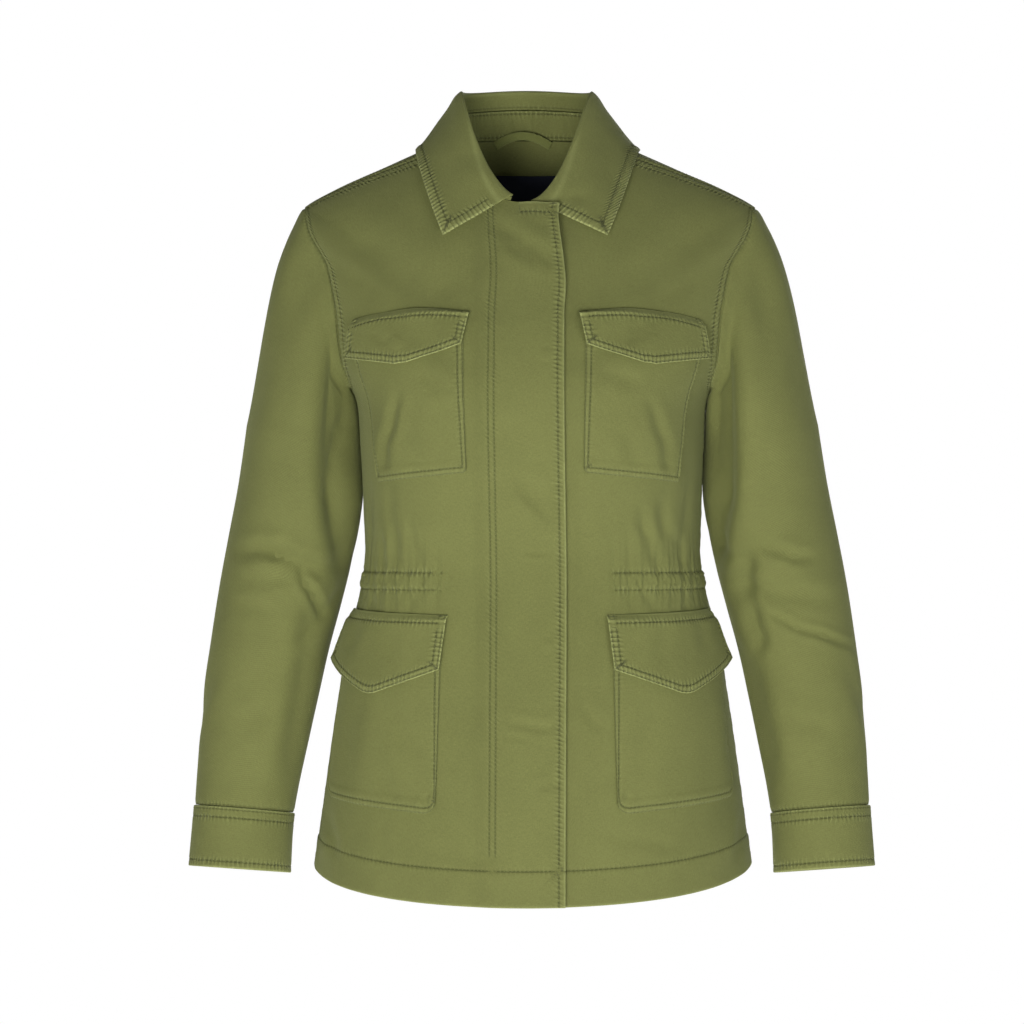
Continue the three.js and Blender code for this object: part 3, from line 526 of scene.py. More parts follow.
# Rungs of puckered cloth across a stitched row, and the groove that the thread pulls; the groove also gives
# the mask for painted shade, a darker colour standing in for the shadow in it.
def makeSeamPucker():
    group, inward, outward = newGroup(
        "seamPucker",
        [
            ("Seam", "Vector", None),
            ("Strength", "Float", 0.0),
            ("Pucker", "Float", 1.0),
            ("Object Place", "Vector", None),
            ("Rung Pitch", "Float", 4.2),
            ("Rung Width", "Float", 3.4),
        ],
        [("Height", "Float", None), ("Painted Groove Shade", "Float", None), ("Crest", "Float", None)],
    )
    split = group.nodes.new("ShaderNodeSeparateXYZ")
    group.links.new(inward.outputs["Seam"], split.inputs[0])
    offRow = mathNode(group, "SUBTRACT", split.outputs[0], split.outputs[2])
    drift = mathNode(group, "MULTIPLY", noiseNode(group, inward.outputs["Object Place"], 60.0, 2.0), 9.0)
    turns = mathNode(group, "MULTIPLY", split.outputs[1], 6.283)
    turns = mathNode(group, "DIVIDE", turns, inward.outputs["Rung Pitch"])
    rung = mathNode(group, "SINE", mathNode(group, "ADD", turns, drift))
    window = bellNode(group, offRow, inward.outputs["Rung Width"])
    patchy = noiseNode(group, inward.outputs["Object Place"], 45.0, 1.0)
    patchy = mathNode(group, "MULTIPLY_ADD", patchy, 1.6, -0.1)
    power = mathNode(group, "MULTIPLY", window, inward.outputs["Strength"])
    power = mathNode(group, "MULTIPLY", power, patchy)
    power = mathNode(group, "MULTIPLY", power, inward.outputs["Pucker"])
    # The groove's profile sinks the bump and is also the mask for the painted shade in the groove.
    grooveAndShade = mathNode(group, "MULTIPLY", bellNode(group, offRow, 0.75), inward.outputs["Strength"])
    rise = mathNode(group, "MULTIPLY", rung, power)
    height = addShares(group, rise, 0.55, grooveAndShade, -0.6)
    group.links.new(height, outward.inputs["Height"])
    group.links.new(grooveAndShade, outward.inputs["Painted Groove Shade"])
    group.links.new(mathNode(group, "MAXIMUM", rise, 0.0), outward.inputs["Crest"])
    return group


# Pale abraded cloth, broken up so that it never runs as a clean line.
def makeWornEdge():
    group, inward, outward = newGroup(
        "wornEdge",
        [("Wear", "Float", 0.0), ("Crest", "Float", 0.0), ("Object Place", "Vector", None)],
        [("Mask", "Float", None)],
    )
    grit = noiseNode(group, inward.outputs["Object Place"], 330.0, 3.0, 0.65)
    patches = noiseNode(group, inward.outputs["Object Place"], 55.0, 2.0, 0.5)
    broken = addShares(group, grit, 0.9, patches, 0.8)
    worn = mathNode(group, "MULTIPLY_ADD", inward.outputs["Crest"], 0.45, inward.outputs["Wear"])
    mask = mathNode(group, "MULTIPLY", worn, broken)
    group.links.new(mathNode(group, "MINIMUM", mask, 1.0), outward.inputs["Mask"])
    return group


twillWeave = makeTwillWeave()
washMottle = makeWashMottle()
seamPucker = makeSeamPucker()
wornEdge = makeWornEdge()


def linearColour(red, green, blue):
    return [((c / 255 + 0.055) / 1.055) ** 2.4 for c in (red, green, blue)] + [1]


def mixColour(tree, amount, first, second):
    node = tree.nodes.new("ShaderNodeMix")
    node.data_type = "RGBA"
    tree.links.new(amount, node.inputs["Factor"])
    for socket, value in ((node.inputs["A"], first), (node.inputs["B"], second)):
        if isinstance(value, list):
            socket.default_value = value
        else:
            tree.links.new(value, socket)
    return node.outputs["Result"]


def groupNode(tree, group, **inputs):
    node = tree.nodes.new("ShaderNodeGroup")
    node.node_tree = group
    for name, value in inputs.items():
        socket = node.inputs[name.replace("_", " ")]
        if isinstance(value, (int, float)):
            socket.default_value = value
        else:
            tree.links.new(value, socket)
    return node


def attributeNode(tree, name, output):
    node = tree.nodes.new("ShaderNodeAttribute")
    node.attribute_name = name
    return node.outputs[output]


oliveTwill = {
    "dark": (85, 89, 47),
    "light": (121, 125, 72),
    "worn": (152, 158, 100),
    # painted shade: the dark colour laid into seam grooves and stitched rows for the shadow that falls in
    # them
    "grooveAndShade": (48, 52, 24),
    "ribWidth": 0.0012,
    "weaveHeight": 0.22,
    "crumpleHeight": 0.42,
    "puckerHeight": 1.25,
    "sheen": 0.25,
    "roughness": 0.88,
}


def makeTwill(name, look):
    material = bpy.data.materials.new(name)
    material.use_nodes = True
    tree = material.node_tree
    shader = tree.nodes["Principled BSDF"]
    coordinates = tree.nodes.new("ShaderNodeTexCoord")
    place, clothPlace = coordinates.outputs["Object"], coordinates.outputs["UV"]
    weave = groupNode(tree, twillWeave, Cloth_Place=clothPlace, Rib_Width=look["ribWidth"])
    mottle = groupNode(tree, washMottle, Object_Place=place)
    pucker = groupNode(
        tree, seamPucker, Seam=attributeNode(tree, "seam", "Vector"),
        Strength=attributeNode(tree, "seamStrength", "Fac"), Pucker=attributeNode(tree, "pucker", "Fac"),
        Object_Place=place,
    )
    worn = groupNode(
        tree, wornEdge, Wear=attributeNode(tree, "wear", "Fac"),
        Crest=pucker.outputs["Crest"], Object_Place=place,
    )
    shade = addShares(tree, mottle.outputs["Shade"], 0.6, weave.outputs["Shade"], 0.4)
    colour = mixColour(tree, shade, linearColour(*look["dark"]), linearColour(*look["light"]))
    # Painted shade: seam grooves and stitched rows are darkened in colour, standing in for the shadow in
    # them.
    grooveAndShade = mathNode(tree, "MULTIPLY", pucker.outputs["Painted Groove Shade"], 0.7)
    colour = mixColour(tree, grooveAndShade, colour, linearColour(*look["grooveAndShade"]))
    colour = mixColour(tree, worn.outputs["Mask"], colour, linearColour(*look["worn"]))
    tree.links.new(colour, shader.inputs["Base Color"])
    roughness = mathNode(tree, "MULTIPLY_ADD", mottle.outputs["Crumple"], 0.08, look["roughness"] - 0.04)
    tree.links.new(roughness, shader.inputs["Roughness"])
    height = mathNode(tree, "MULTIPLY", weave.outputs["Height"], look["weaveHeight"])
    height = mathNode(tree, "MULTIPLY_ADD", mottle.outputs["Crumple"], look["crumpleHeight"], height)
    height = mathNode(tree, "MULTIPLY_ADD", pucker.outputs["Height"], look["puckerHeight"], height)
    bump = tree.nodes.new("ShaderNodeBump")
    bump.inputs["Distance"].default_value = 0.001
    tree.links.new(height, bump.inputs["Height"])
    tree.links.new(bump.outputs[0], shader.inputs["Normal"])
    shader.inputs["Sheen Weight"].default_value = look["sheen"]
    shader.inputs["Sheen Roughness"].default_value = 0.5
    shader.inputs["Sheen Tint"].default_value = linearColour(196, 204, 150)
    shader.inputs["Specular IOR Level"].default_value = 0.25
    return material


def makePlain(name, colour, roughness):
    material = bpy.data.materials.new(name)
    material.use_nodes = True
    shader = material.node_tree.nodes["Principled BSDF"]
    shader.inputs["Base Color"].default_value = linearColour(*colour)
    shader.inputs["Roughness"].default_value = roughness
    shader.inputs["Specular IOR Level"].default_value = 0.25
    return material


twillMaterial = makeTwill("oliveTwill", oliveTwill)
threadMaterial = makePlain("oliveThread", (114, 119, 68), 0.75)
print("materials made")


# Finishes a shell: gives it the cloth it was cut from, attaches it to the root body and hides the part of the
# frame that it stands for.
def finishCloth(piece, node, material):
    piece.data.materials.append(material)
    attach(piece, "root")
    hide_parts(node)


# Where each row of a panel ends: angle, drop at the centre and drop at its end.
def panelEnds(drops, angleColumn):
    drop, *angles = armholeAt(wayAt(np.clip(drops, shoulderTip, underarm))[0])
    onShoulder, onArmhole = drops < shoulderTip, drops < underarm
    end = np.where(onShoulder, shoulderSeamAt(drops)[0], np.where(onArmhole, angles[angleColumn], 90))
    below = drops - 2 * (1 - smooth(drops, underarm, underarm + 20))
    return np.radians(end)[:, None], np.where(onShoulder, drops, np.where(onArmhole, drop, below))[:, None]


# Drops between which the rows of a panel lie closer, and where those of its hem start.
panelRows = {"waistTop": 380, "waistBottom": 428, "hem": 630, "hemStep": 1.6}


def panelDrops(step, waistStep):
    waistTop, waistBottom, hem = panelRows["waistTop"], panelRows["waistBottom"], panelRows["hem"]
    stretches = [
        (0, shoulderTip, step), (shoulderTip, underarm, step), (underarm, waistTop, step),
        (waistTop, waistBottom, waistStep), (waistBottom, hem, step),
    ]
    rows = [np.linspace(a, b, int(round((b - a) / s)) + 1)[:-1] for a, b, s in stretches]
    last = hem + edgedPlaces(bodyForm["lastDrop"] - hem, panelRows["hemStep"], False, True)
    return np.concatenate(rows + [last])


# Where a drop lies on a panel: as a grid row, and as a length down each of its columns.
def dropReaders(drops, down):
    rows = np.arange(len(drops))

    def rowAt(value):
        return np.interp(value, drops, rows)

    def lineDown(value):
        return np.array([np.interp(rowAt(value), rows, column) for column in down.T])[None, :]

    return rowAt, lineDown


def armholeRows(drops):
    return smooth(drops, 0, 8)[:, None] * (1 - smooth(drops, underarm - 6, underarm + 6)[:, None])


# Millimetres that the turned hem and the band along the armhole rise, and their stitched rows sink.
panelEdges = {"hemThickness": 0.9, "hemSink": 0.5, "hemWave": 0.35, "bandThickness": 0.75, "seamSink": 1.1}


def panelRelief(out, look, pastHem, hemWave, toEnd, onArmhole):
    edges = panelEdges
    band = 1 - smooth(toEnd, look["armholeBand"] - 0.8, look["armholeBand"] + 1.4)
    out = out + edges["hemThickness"] * smooth(pastHem, -0.6, 0.9) - edges["hemSink"] * bell(pastHem, 0, 1.5)
    out = out + edges["hemWave"] * hemWave * smooth(pastHem, -12, 20)
    return out + edges["bandThickness"] * band * onArmhole - edges["seamSink"] * bell(toEnd, 0, 1.5)


# Soft troughs by place in degrees and drop: lean, length, width and depth.
def foldTroughs(degrees, drop, rows, girthPerDegree):
    total = 0.0
    for foldDegrees, foldDrop, lean, length, width, depth in rows:
        across, along = (degrees - foldDegrees) * girthPerDegree, drop - foldDrop
        c, s = np.cos(np.radians(lean)), np.sin(np.radians(lean))
        aside, onward = (across * c + along * s) / width, (along * c - across * s) / length
        total = total - depth * np.exp(-aside * aside - onward * onward)
    return total


# The waist casing: a stitched channel that is drawn in and gathers the cloth about it.
waistCasing = {
    "top": 396, "bottom": 411.5, "frontStart": 23.5, "gatherHeight": 2.4, "channelPuff": 2.0,
    "fadeUp": 34, "fadeDown": 26, "gatherPitch": 8.5, "rowWidth": 1.6, "rowSink": 0.7,
    "bars": (0.0, 0.5, 2.9, 3.4),  # upright stitched bars at its front end, in grid columns
}


def gathers(girth, drop, angle):
    c = waistCasing
    start = np.radians(c["frontStart"])
    inside = smooth(np.abs(angle), start - 0.01, start + 0.08)
    place = girth / c["gatherPitch"] * 2 * np.pi
    channel = smooth(drop, c["top"] - 1, c["top"] + 3) * (1 - smooth(drop, c["bottom"] - 3, c["bottom"] + 1))
    ripple = wobble(place * 0.55 + 0.02 * (drop - c["top"]) * wobble(girth / 30, 2), 1.0)
    fine = wobble(place * 1.7 + 0.3, 4.0)
    above = np.exp(-np.maximum(c["top"] - drop, 0) / c["fadeUp"] * 1.6)
    below = np.exp(-np.maximum(drop - c["bottom"], 0) / c["fadeDown"] * 1.6)
    amount = np.where(drop < c["top"], above, np.where(drop > c["bottom"], below, 1.0))
    amount = amount * smooth(drop, c["top"] - 70, c["top"] - 20)
    amount = amount * (1 - smooth(drop, c["bottom"] + 14, c["bottom"] + 34))
    rows = bell(drop, c["top"], c["rowWidth"]) + bell(drop, c["bottom"], c["rowWidth"])
    height = c["gatherHeight"] * amount * (0.75 * ripple + 0.5 * fine * (0.4 + 0.6 * channel))
    return inside * (height + c["channelPuff"] * channel * 0.5 - c["rowSink"] * rows)


frontLook = {
    "lapRight": 35, "lapTopNarrow": 11, "lapTopFade": 60, "lapLeft": 25,
    "lapRise": 3.2, "lapCornerRise": 7.5, "lapCornerFade": 75, "rampStart": 48, "rampEnd": 31, "neckDip": 11,
    "edgeRow": 6.0,  # stitched rows, measured from the front edge
    "placketRows": 65.0, "placketRowsHalfGap": 2.7, "placketThickness": 0.7,
    "armholeBand": 10, "hemDrop": 636.5, "seamRow": 1.0, "topRow": 10.5,
    "levelPoints": 260, "creaseGain": 1.6,
    "edgeLift": 3.0, "edgeLiftWidth": 15, "placketWall": 1.1,  # the layers folded inside the placket
    # creases by photograph pixel: from, to, half width in pixels, depth in millimetres
    "creases": [
        [497, 224, 556, 262, 8, 1.5], [503, 240, 540, 268, 6, 0.8], [512, 478, 560, 512, 9, 1.5],
        [520, 492, 556, 522, 6, 0.9], [524, 551, 549, 554, 3.5, 0.8], [509, 723, 561, 727, 5, 0.8],
        [503, 736, 528, 738, 4, 0.5], [540, 788, 562, 782, 5, 0.7], [583, 706, 602, 730, 7, 0.8],
        [643, 512, 655, 572, 6, 1.6], [676, 532, 681, 568, 5, 1.2], [662, 500, 668, 566, 6, 0.9],
        [394, 524, 399, 568, 5, 1.3], [379, 534, 384, 568, 5, 1.2], [410, 520, 414, 567, 6, 0.9],
        [345, 232, 425, 300, 20, 1.8], [706, 226, 640, 296, 20, 1.8], [470, 250, 440, 300, 16, 0.9],
        [326, 812, 338, 856, 5, 1.2], [744, 812, 736, 858, 5, 1.0], [380, 820, 384, 862, 7, 0.5],
        [372, 596, 378, 612, 5, 0.9], [412, 596, 410, 614, 5, 0.8], [650, 596, 654, 612, 5, 0.9],
        [688, 594, 684, 610, 5, 0.9], [596, 250, 575, 330, 14, 1.0], [580, 520, 600, 640, 12, 0.7],
        [470, 590, 462, 760, 13, 0.6], [606, 835, 680, 850, 8, 0.5], [420, 850, 500, 858, 8, 0.4],
    ],
    # round marks down the covered closing: pixel, radius and rise
    "roundMarks": [[546, 355, 7, 0.5], [548, 645, 7, 0.6], [545, 500, 7, 0.25], [549, 790, 7, 0.25]],
}


def lapWidth(side, drop):
    narrow = frontLook["lapTopNarrow"] * (1 - smooth(drop, 0, frontLook["lapTopFade"]))
    if side < 0:
        return frontLook["lapRight"] - narrow
    return np.full(np.shape(drop), float(frontLook["lapLeft"]))


def lapLift(x, drop):
    across = smooth(x, -frontLook["rampStart"], -frontLook["rampEnd"])
    corner = smooth(x, -frontLook["rampEnd"], frontLook["lapRight"])
    corner = corner * (1 - smooth(drop, 0, frontLook["lapCornerFade"]))
    return frontLook["lapRise"] * across + frontLook["lapCornerRise"] * corner


# A point of a front and its normal, off the body surface by out. The angle runs from the front centre
# to the side.
def onFront(side, angle, drop, out=0.0):
    angle, drop = np.broadcast_arrays(angle, drop)
    over = np.clip(-angle / angleAtX(lapWidth(side, drop), drop), 0, 1)
    lower = drop + frontLook["neckDip"] * over**2 * np.maximum(0, 1 - drop / 120)
    lift = lapLift(-bodyPoint(angle, lower)[..., 0], drop) if side < 0 else 0.0
    normal = bodyNormal(side * angle, lower)
    off = lift + out + broadFolds(side, angle, drop)
    return bodyPoint(side * angle, lower) + normal * off[..., None], normal


# Broad folds that the solids have too: degrees, drop, lean, length, width, depth on each side.
broadFoldRows = {
    1: [
        [34, 128, 55, 60, 20, 2.5], [62, 350, 8, 40, 9, 2.2], [47, 352, 4, 34, 8, 1.8],
        [128, 345, 10, 45, 12, 2.6], [140, 200, 30, 60, 20, 2.2],
    ],
    -1: [
        [36, 132, 55, 55, 18, 2.5], [66, 352, -6, 38, 9, 2.2], [48, 350, -3, 34, 8, 1.8],
        [126, 348, -12, 45, 12, 2.6], [142, 204, -30, 60, 20, 2.2],
    ],
}


def broadFolds(side, angle, drop):
    return foldTroughs(np.degrees(angle), drop, broadFoldRows[side], bodyForm["girthPerDegree"])


def buildFront(side, name):
    look = frontLook
    drops = panelDrops(2.5, 1.5)
    lap = lapWidth(side, drops)[:, None]
    end, edgeDrop = panelEnds(drops, 0)
    stop = end - bodyForm["seamGap"] / 2 / bodyRingAt(edgeDrop)[1]
    nearShare = edgedPlaces(look["lapLeft"] + look["rampStart"], 1.8, True, False)
    near = -lap + (lap + look["rampStart"]) * nearShare[None, :] / nearShare[-1]
    nearAngles = angleAtX(near, drops[:, None])
    share = edgedPlaces(240, 2.6, False, True)[1:] / 240
    angle = np.concatenate([nearAngles, blend(nearAngles[:, -1:], stop, share[None, :])], axis=1)
    drop = blend(drops[:, None], edgeDrop, np.clip(angle / stop, 0, 1) ** 2)
    base, normal = onFront(side, angle, drop)

    fromFront, down = lengthsAlong(base, 1), lengthsAlong(base, 0)
    toEnd = fromFront[:, -1:] - fromFront
    alongEnd = lengthsAlong(base[:, -1:], 0)
    rowAt, lineDown = dropReaders(drops, down)
    hemLine = lineDown(look["hemDrop"])
    isRight = side < 0
    onLap = 1 - smooth(angle, 0.0, 0.14)
    out = photoCreases(base, normal, look["creases"], look["creaseGain"]) * (1.0 if isRight else 1 - onLap)
    out = out + gathers(fromFront, drop, angle)
    onArmhole = armholeRows(drops)
    out = panelRelief(out, look, down - hemLine, wobble(fromFront / 17, 3 + side), toEnd, onArmhole)
    out = out + 0.3 * wobble(alongEnd / 3.4, 2.0) * bell(toEnd, 6, 7)
    if isRight:
        pastRows, halfGap = fromFront - look["placketRows"], look["placketRowsHalfGap"]
        out = out + look["placketThickness"] * (1 - smooth(pastRows, -4.0, 3.5))
        out = out - 0.5 * (bell(pastRows, halfGap, 1.5) + bell(pastRows, -halfGap, 1.5))
        out = out + 0.35 * wobble(down / 7.0, 1.0) * bell(pastRows, 0, 5)
        out = out + 0.4 * wobble(down / 5.2, 5.0) * bell(fromFront, 0, 6)
        out = out + look["edgeLift"] * (1 - smooth(fromFront, 0, look["edgeLiftWidth"]))
        out = out + pressedRounds(base, look["roundMarks"], 0.5)
        topDistance = np.where(onLap > 0.5, down, farOff)
        out = out + 0.6 * bell(topDistance, 4.5, 4) + 0.5 * bell(topDistance, 17, 3)
    grid = base + normal * out[..., None]

    casingAngle = np.radians(waistCasing["frontStart"])
    casing = smooth(angle, casingAngle, casingAngle + 0.01)
    offCasing = farOff * (1 - casing)
    casingRow = casing * smooth(angle, casingAngle + 0.03, casingAngle + 0.05)
    halfBand = look["armholeBand"] / 2
    lines = [
        (fromFront - look["edgeRow"], down, 0.0, 0.9 if isRight else 0.4, 1.0),
        (toEnd - halfBand - 0.5, alongEnd, halfBand - 0.5, onArmhole + 0.15, 1.0),
        (down - lineDown(waistCasing["top"]) + offCasing, fromFront, 0.0, 0.7 * casingRow, 1.2),
        (lineDown(waistCasing["bottom"]) - down + offCasing, fromFront, 0.0, 0.7 * casingRow, 1.2),
        (hemLine - down, fromFront, 0.0, 0.75, 0.45),
    ]
    if isRight:
        lines.append((pastRows, down, halfGap, 0.7 * smooth(look["hemDrop"] - 10 - drop, 0, 2), 0.5))
        lines.append((np.where(onLap > 0.5, down - look["topRow"], farOff), fromFront, 0.0, 1.0, 1.0))
    seams = nearestSeam(grid.shape[:2], lines)
    bottom = down[-1:] - down
    wear = 0.75 * bell(fromFront, 0, 1.3) + 0.5 * bell(bottom, 0, 1.4)
    wear = wear + 0.35 * bell(toEnd, 0.8, 1.0) + 0.18 * bell(toEnd, 5.5, 1.6) * onArmhole
    if isRight:
        wear = wear + 0.7 * bell(topDistance, 0, 1.2)
    edge = np.minimum(fromFront, bottom)
    layers = look["placketWall"] * (1 - smooth(fromFront, 50, 66))[..., None] if isRight else 0.0
    outer, inner = clothFaces(grid, normal, bodyForm["wall"] + layers, edge)
    piece = makeShell(f"front_{name}_cloth", outer, inner, seams, wear)
    finishCloth(piece, f"front_{name}", twillMaterial)

    rows = np.arange(len(drops), dtype=float)
    armRows = rows[drops < underarm - 4]
    casingStart = whereReached(angle, casingAngle)
    lastColumn = grid.shape[1] - 1

    def levelRow(value, first, last):
        return np.full(look["levelPoints"], rowAt(value)), np.linspace(first, last, look["levelPoints"])

    stitched = [
        (rows[2:-1], whereReached(fromFront, look["edgeRow"])[2:-1]),
        (armRows, whereReached(toEnd, look["seamRow"], False)[: len(armRows)]),
        (armRows, whereReached(toEnd, look["armholeBand"], False)[: len(armRows)]),
        levelRow(look["hemDrop"], 1, lastColumn - 1),
    ]
    for value in (waistCasing["top"], waistCasing["bottom"]):
        stitched.append(levelRow(value, casingStart[int(rowAt(value))], lastColumn - 1))
    barRows = rows[(drops >= waistCasing["top"]) & (drops <= waistCasing["bottom"])]
    for place in waistCasing["bars"]:
        stitched.append((barRows, casingStart[barRows.astype(int)] + place))
    if isRight:
        topDown = whereReached(down.T, look["topRow"])
        lapColumns = np.arange(lastColumn + 1, dtype=float)[angle[0] < 0.18]
        stitched.append((topDown[: len(lapColumns)], lapColumns))
        short = rows[(drops > 14) & (drops < look["hemDrop"] - 12)].astype(int)
        for offset in (-halfGap, halfGap):
            columns = whereReached(fromFront, look["placketRows"] + offset)
            stitched.append((short.astype(float), columns[short]))
    makeStitches(f"front_{name}_stitches", outer, stitched, normal, threadMaterial)


buildFront(-1, "right")
buildFront(1, "left")
print("fronts made")

backLook = {
    "armholeBand": 10, "hemDrop": 636.5,
    # creases by girth from the back centre and drop: lean, half length, width, depth
    "creases": [
        [-118, 226, 32, 62, 13, 2.2], [120, 222, -34, 58, 13, 2.2], [-95, 262, 48, 44, 10, 1.4],
        [92, 268, -46, 48, 10, 1.4], [-62, 372, 6, 30, 8, 1.4], [-24, 366, -4, 38, 9, 1.2],
        [18, 372, 3, 32, 8, 1.4], [58, 368, -5, 34, 8, 1.3], [-98, 362, 12, 34, 8, 1.5],
        [100, 364, -12, 34, 8, 1.5], [-48, 440, -6, 24, 8, 1.0], [6, 444, 4, 26, 8, 1.0],
        [66, 442, 7, 24, 8, 1.0], [-150, 560, 8, 60, 16, 1.4], [146, 552, -9, 64, 16, 1.4],
        [-30, 120, 70, 60, 16, 0.9], [36, 132, -68, 56, 16, 0.9], [0, 560, 2, 70, 22, 0.9],
    ],
}


def buildBack():
    look = backLook
    drops = panelDrops(3.0, 1.7)
    end, edgeDrop = panelEnds(drops, 1)
    start = end + bodyForm["seamGap"] / 2 / bodyRingAt(edgeDrop)[1]
    share = edgedPlaces(450, 2.9, True, True)[None, :] / 450
    angle = blend(start, 2 * np.pi - start, share)
    drop = blend(drops[:, None], edgeDrop, np.clip(np.abs(angle - np.pi) / (np.pi - start), 0, 1) ** 2)
    normal = bodyNormal(angle, drop)
    side = np.where(angle < np.pi, 1, -1)
    turned = np.where(side > 0, angle, 2 * np.pi - angle)
    folds = np.where(side > 0, broadFolds(1, turned, drop), broadFolds(-1, turned, drop))
    base = bodyPoint(angle, drop) + normal * folds[..., None]
    across, down = lengthsAlong(base, 1), lengthsAlong(base, 0)
    toEnd = np.minimum(across, across[:, -1:] - across)
    alongEnd = np.where(side > 0, lengthsAlong(base[:, :1], 0), lengthsAlong(base[:, -1:], 0))
    girth = across - across[:, -1:] / 2
    rowAt, lineDown = dropReaders(drops, down)
    hemLine = lineDown(look["hemDrop"])
    onArmhole = armholeRows(drops)
    out = placedCreases(girth, drop, look["creases"]) + gathers(girth, drop, np.full(drop.shape, np.pi))
    out = panelRelief(out, look, down - hemLine, wobble(girth / 17, 6.0), toEnd, onArmhole)
    grid = base + normal * out[..., None]
    halfBand = look["armholeBand"] / 2
    lines = [
        (toEnd - halfBand - 0.5, alongEnd, halfBand - 0.5, onArmhole + 0.15, 1.0),
        (down - lineDown(waistCasing["top"]), girth, 0.0, 1.0, 0.7),
        (lineDown(waistCasing["bottom"]) - down, girth, 0.0, 1.0, 0.7),
        (hemLine - down, girth, 0.0, 0.75, 0.45),
    ]
    seams = nearestSeam(grid.shape[:2], lines)
    bottom = down[-1:] - down
    wear = 0.5 * bell(bottom, 0, 1.4) + 0.35 * bell(toEnd, 0.8, 1.0)
    outer, inner = clothFaces(grid, normal, bodyForm["wall"], bottom)
    piece = makeShell("back_cloth", outer, inner, seams, wear)
    finishCloth(piece, "back", twillMaterial)
    rows = np.arange(len(drops), dtype=float)
    armRows = rows[drops < underarm - 4]
    lastColumn = grid.shape[1] - 1
    stitched = []
    for value in (1.0, look["armholeBand"]):
        stitched.append((armRows, whereReached(across, value)[: len(armRows)]))
        stitched.append((armRows, whereReached(across[:, -1:] - across, value, False)[: len(armRows)]))
    for value in (waistCasing["top"], waistCasing["bottom"], look["hemDrop"]):
        stitched.append((np.full(400, rowAt(value)), np.linspace(1, lastColumn - 1, 400)))
    makeStitches("back_stitches", outer, stitched, normal, threadMaterial)


buildBack()
print("back made")

sleeveForm = {
    # drop, x, y, half width, half depth, tilt, pitch
    "rings": [
        [275, 211.2, 8, 53.3, 74, 14, 0],
        [327, 214.7, 8, 57.6, 70, 10, 1],
        [372, 223, 7, 58, 65, 9, 2],
        [416, 232.5, 4, 56.5, 61, 9, 4],
        [460, 241.5, -1, 54, 57, 8, 5],
        [504, 249, -6, 52, 53, 7, 6],
        [548, 255.3, -12, 49.3, 49, 6, 6],
        [592, 261, -18, 46.3, 45, 5, 6],
        [616, 263.5, -21, 45, 43, 4.5, 6],
        [670, 267, -27, 45.5, 41, 4, 6],
    ],
    "start": 275, "end": 613, "girthPerDegree": 1.02,
    "restGap": 0.35,  # where the sleeve rests against the body
    # turn round the sleeve, reach off the armhole, out x, y, z, in x, z
    "head": [
        [0, 0, 116, 0, -148, 50, -196],
        [90, 22, 45, -24, -80, 15, -120],
        [180, 12, 14, 0, 0, -3, -45],
        [270, 22, 45, 26, -80, 15, -120],
        [360, 0, 116, 0, -148, 50, -196],
    ],
    # turn, drop, lean, length, width, depth: the folds that the solids have too
    "folds": {
        -1: [
            [118, 395, 72, 42, 9, 4.5], [150, 428, 35, 30, 8, 3.5],
            [240, 405, -60, 40, 10, 4], [128, 262, 4, 70, 12, 4],
        ],
        1: [
            [112, 412, 66, 44, 9, 4], [150, 370, 60, 30, 9, 3.5],
            [244, 400, -62, 40, 10, 4], [128, 262, 4, 70, 12, 4],
        ],
    },
    # creases by photograph pixel on the two sleeves
    "creaseGain": 1.8,
    "creases": [
        [345, 270, 342, 530, 19, 5.8], [336, 480, 344, 580, 12, 3.4], [236, 552, 292, 549, 8, 1.5],
        [262, 550, 318, 568, 8, 2.4], [303, 572, 324, 618, 5, 1.8], [300, 640, 320, 600, 10, 1.5],
        [314, 630, 288, 790, 12, 2.0], [228, 797, 262, 806, 6, 0.9], [304, 240, 310, 380, 14, 1.2],
        [352, 410, 340, 470, 6, 2.0], [290, 700, 240, 726, 10, 0.7], [270, 612, 236, 604, 8, 0.7],
        [715, 270, 717, 530, 19, 6.2], [722, 470, 712, 566, 12, 3.6], [748, 552, 744, 602, 9, 2.4],
        [750, 600, 760, 652, 8, 2.2], [768, 612, 850, 648, 4, 1.3], [760, 546, 812, 558, 6, 1.5],
        [744, 650, 772, 790, 12, 2.0], [776, 799, 812, 806, 6, 0.9], [762, 240, 756, 380, 14, 1.2],
        [776, 716, 836, 734, 10, 0.7], [790, 590, 838, 600, 8, 0.6],
    ],
    # creases by turn and drop on the outer and back sides
    "placed": [
        [265, 330, 30, 50, 13, 1.8], [300, 300, 24, 60, 14, 1.6], [285, 420, -58, 42, 10, 2.4],
        [250, 450, -50, 38, 9, 2.0], [320, 440, -64, 34, 9, 1.4], [240, 240, 8, 60, 12, 2.0],
        [20, 520, 40, 40, 12, 1.2], [330, 560, -30, 44, 11, 1.2], [260, 560, 62, 34, 9, 1.3],
        [40, 230, 12, 50, 14, 1.0],
    ],
}
sleeveRingAt = tableReader(sleeveForm["rings"])
sleeveHeadAt = tableReader(sleeveForm["head"])


def sleeveRingPoint(turn, drop, grow=0.0):
    turn, drop = np.broadcast_arrays(turn, drop)
    x, y, halfWide, halfDeep, tilt, pitch = sleeveRingAt(drop)
    tilt, pitch, angle = np.radians(tilt), np.radians(pitch), np.radians(turn)
    outward, forward = (halfWide + grow) * np.cos(angle), (halfDeep + grow) * np.sin(angle)
    return np.stack([
        x + outward * np.cos(tilt),
        y - forward * np.cos(pitch),
        -drop + outward * np.sin(tilt) + forward * np.sin(pitch),
    ], -1)


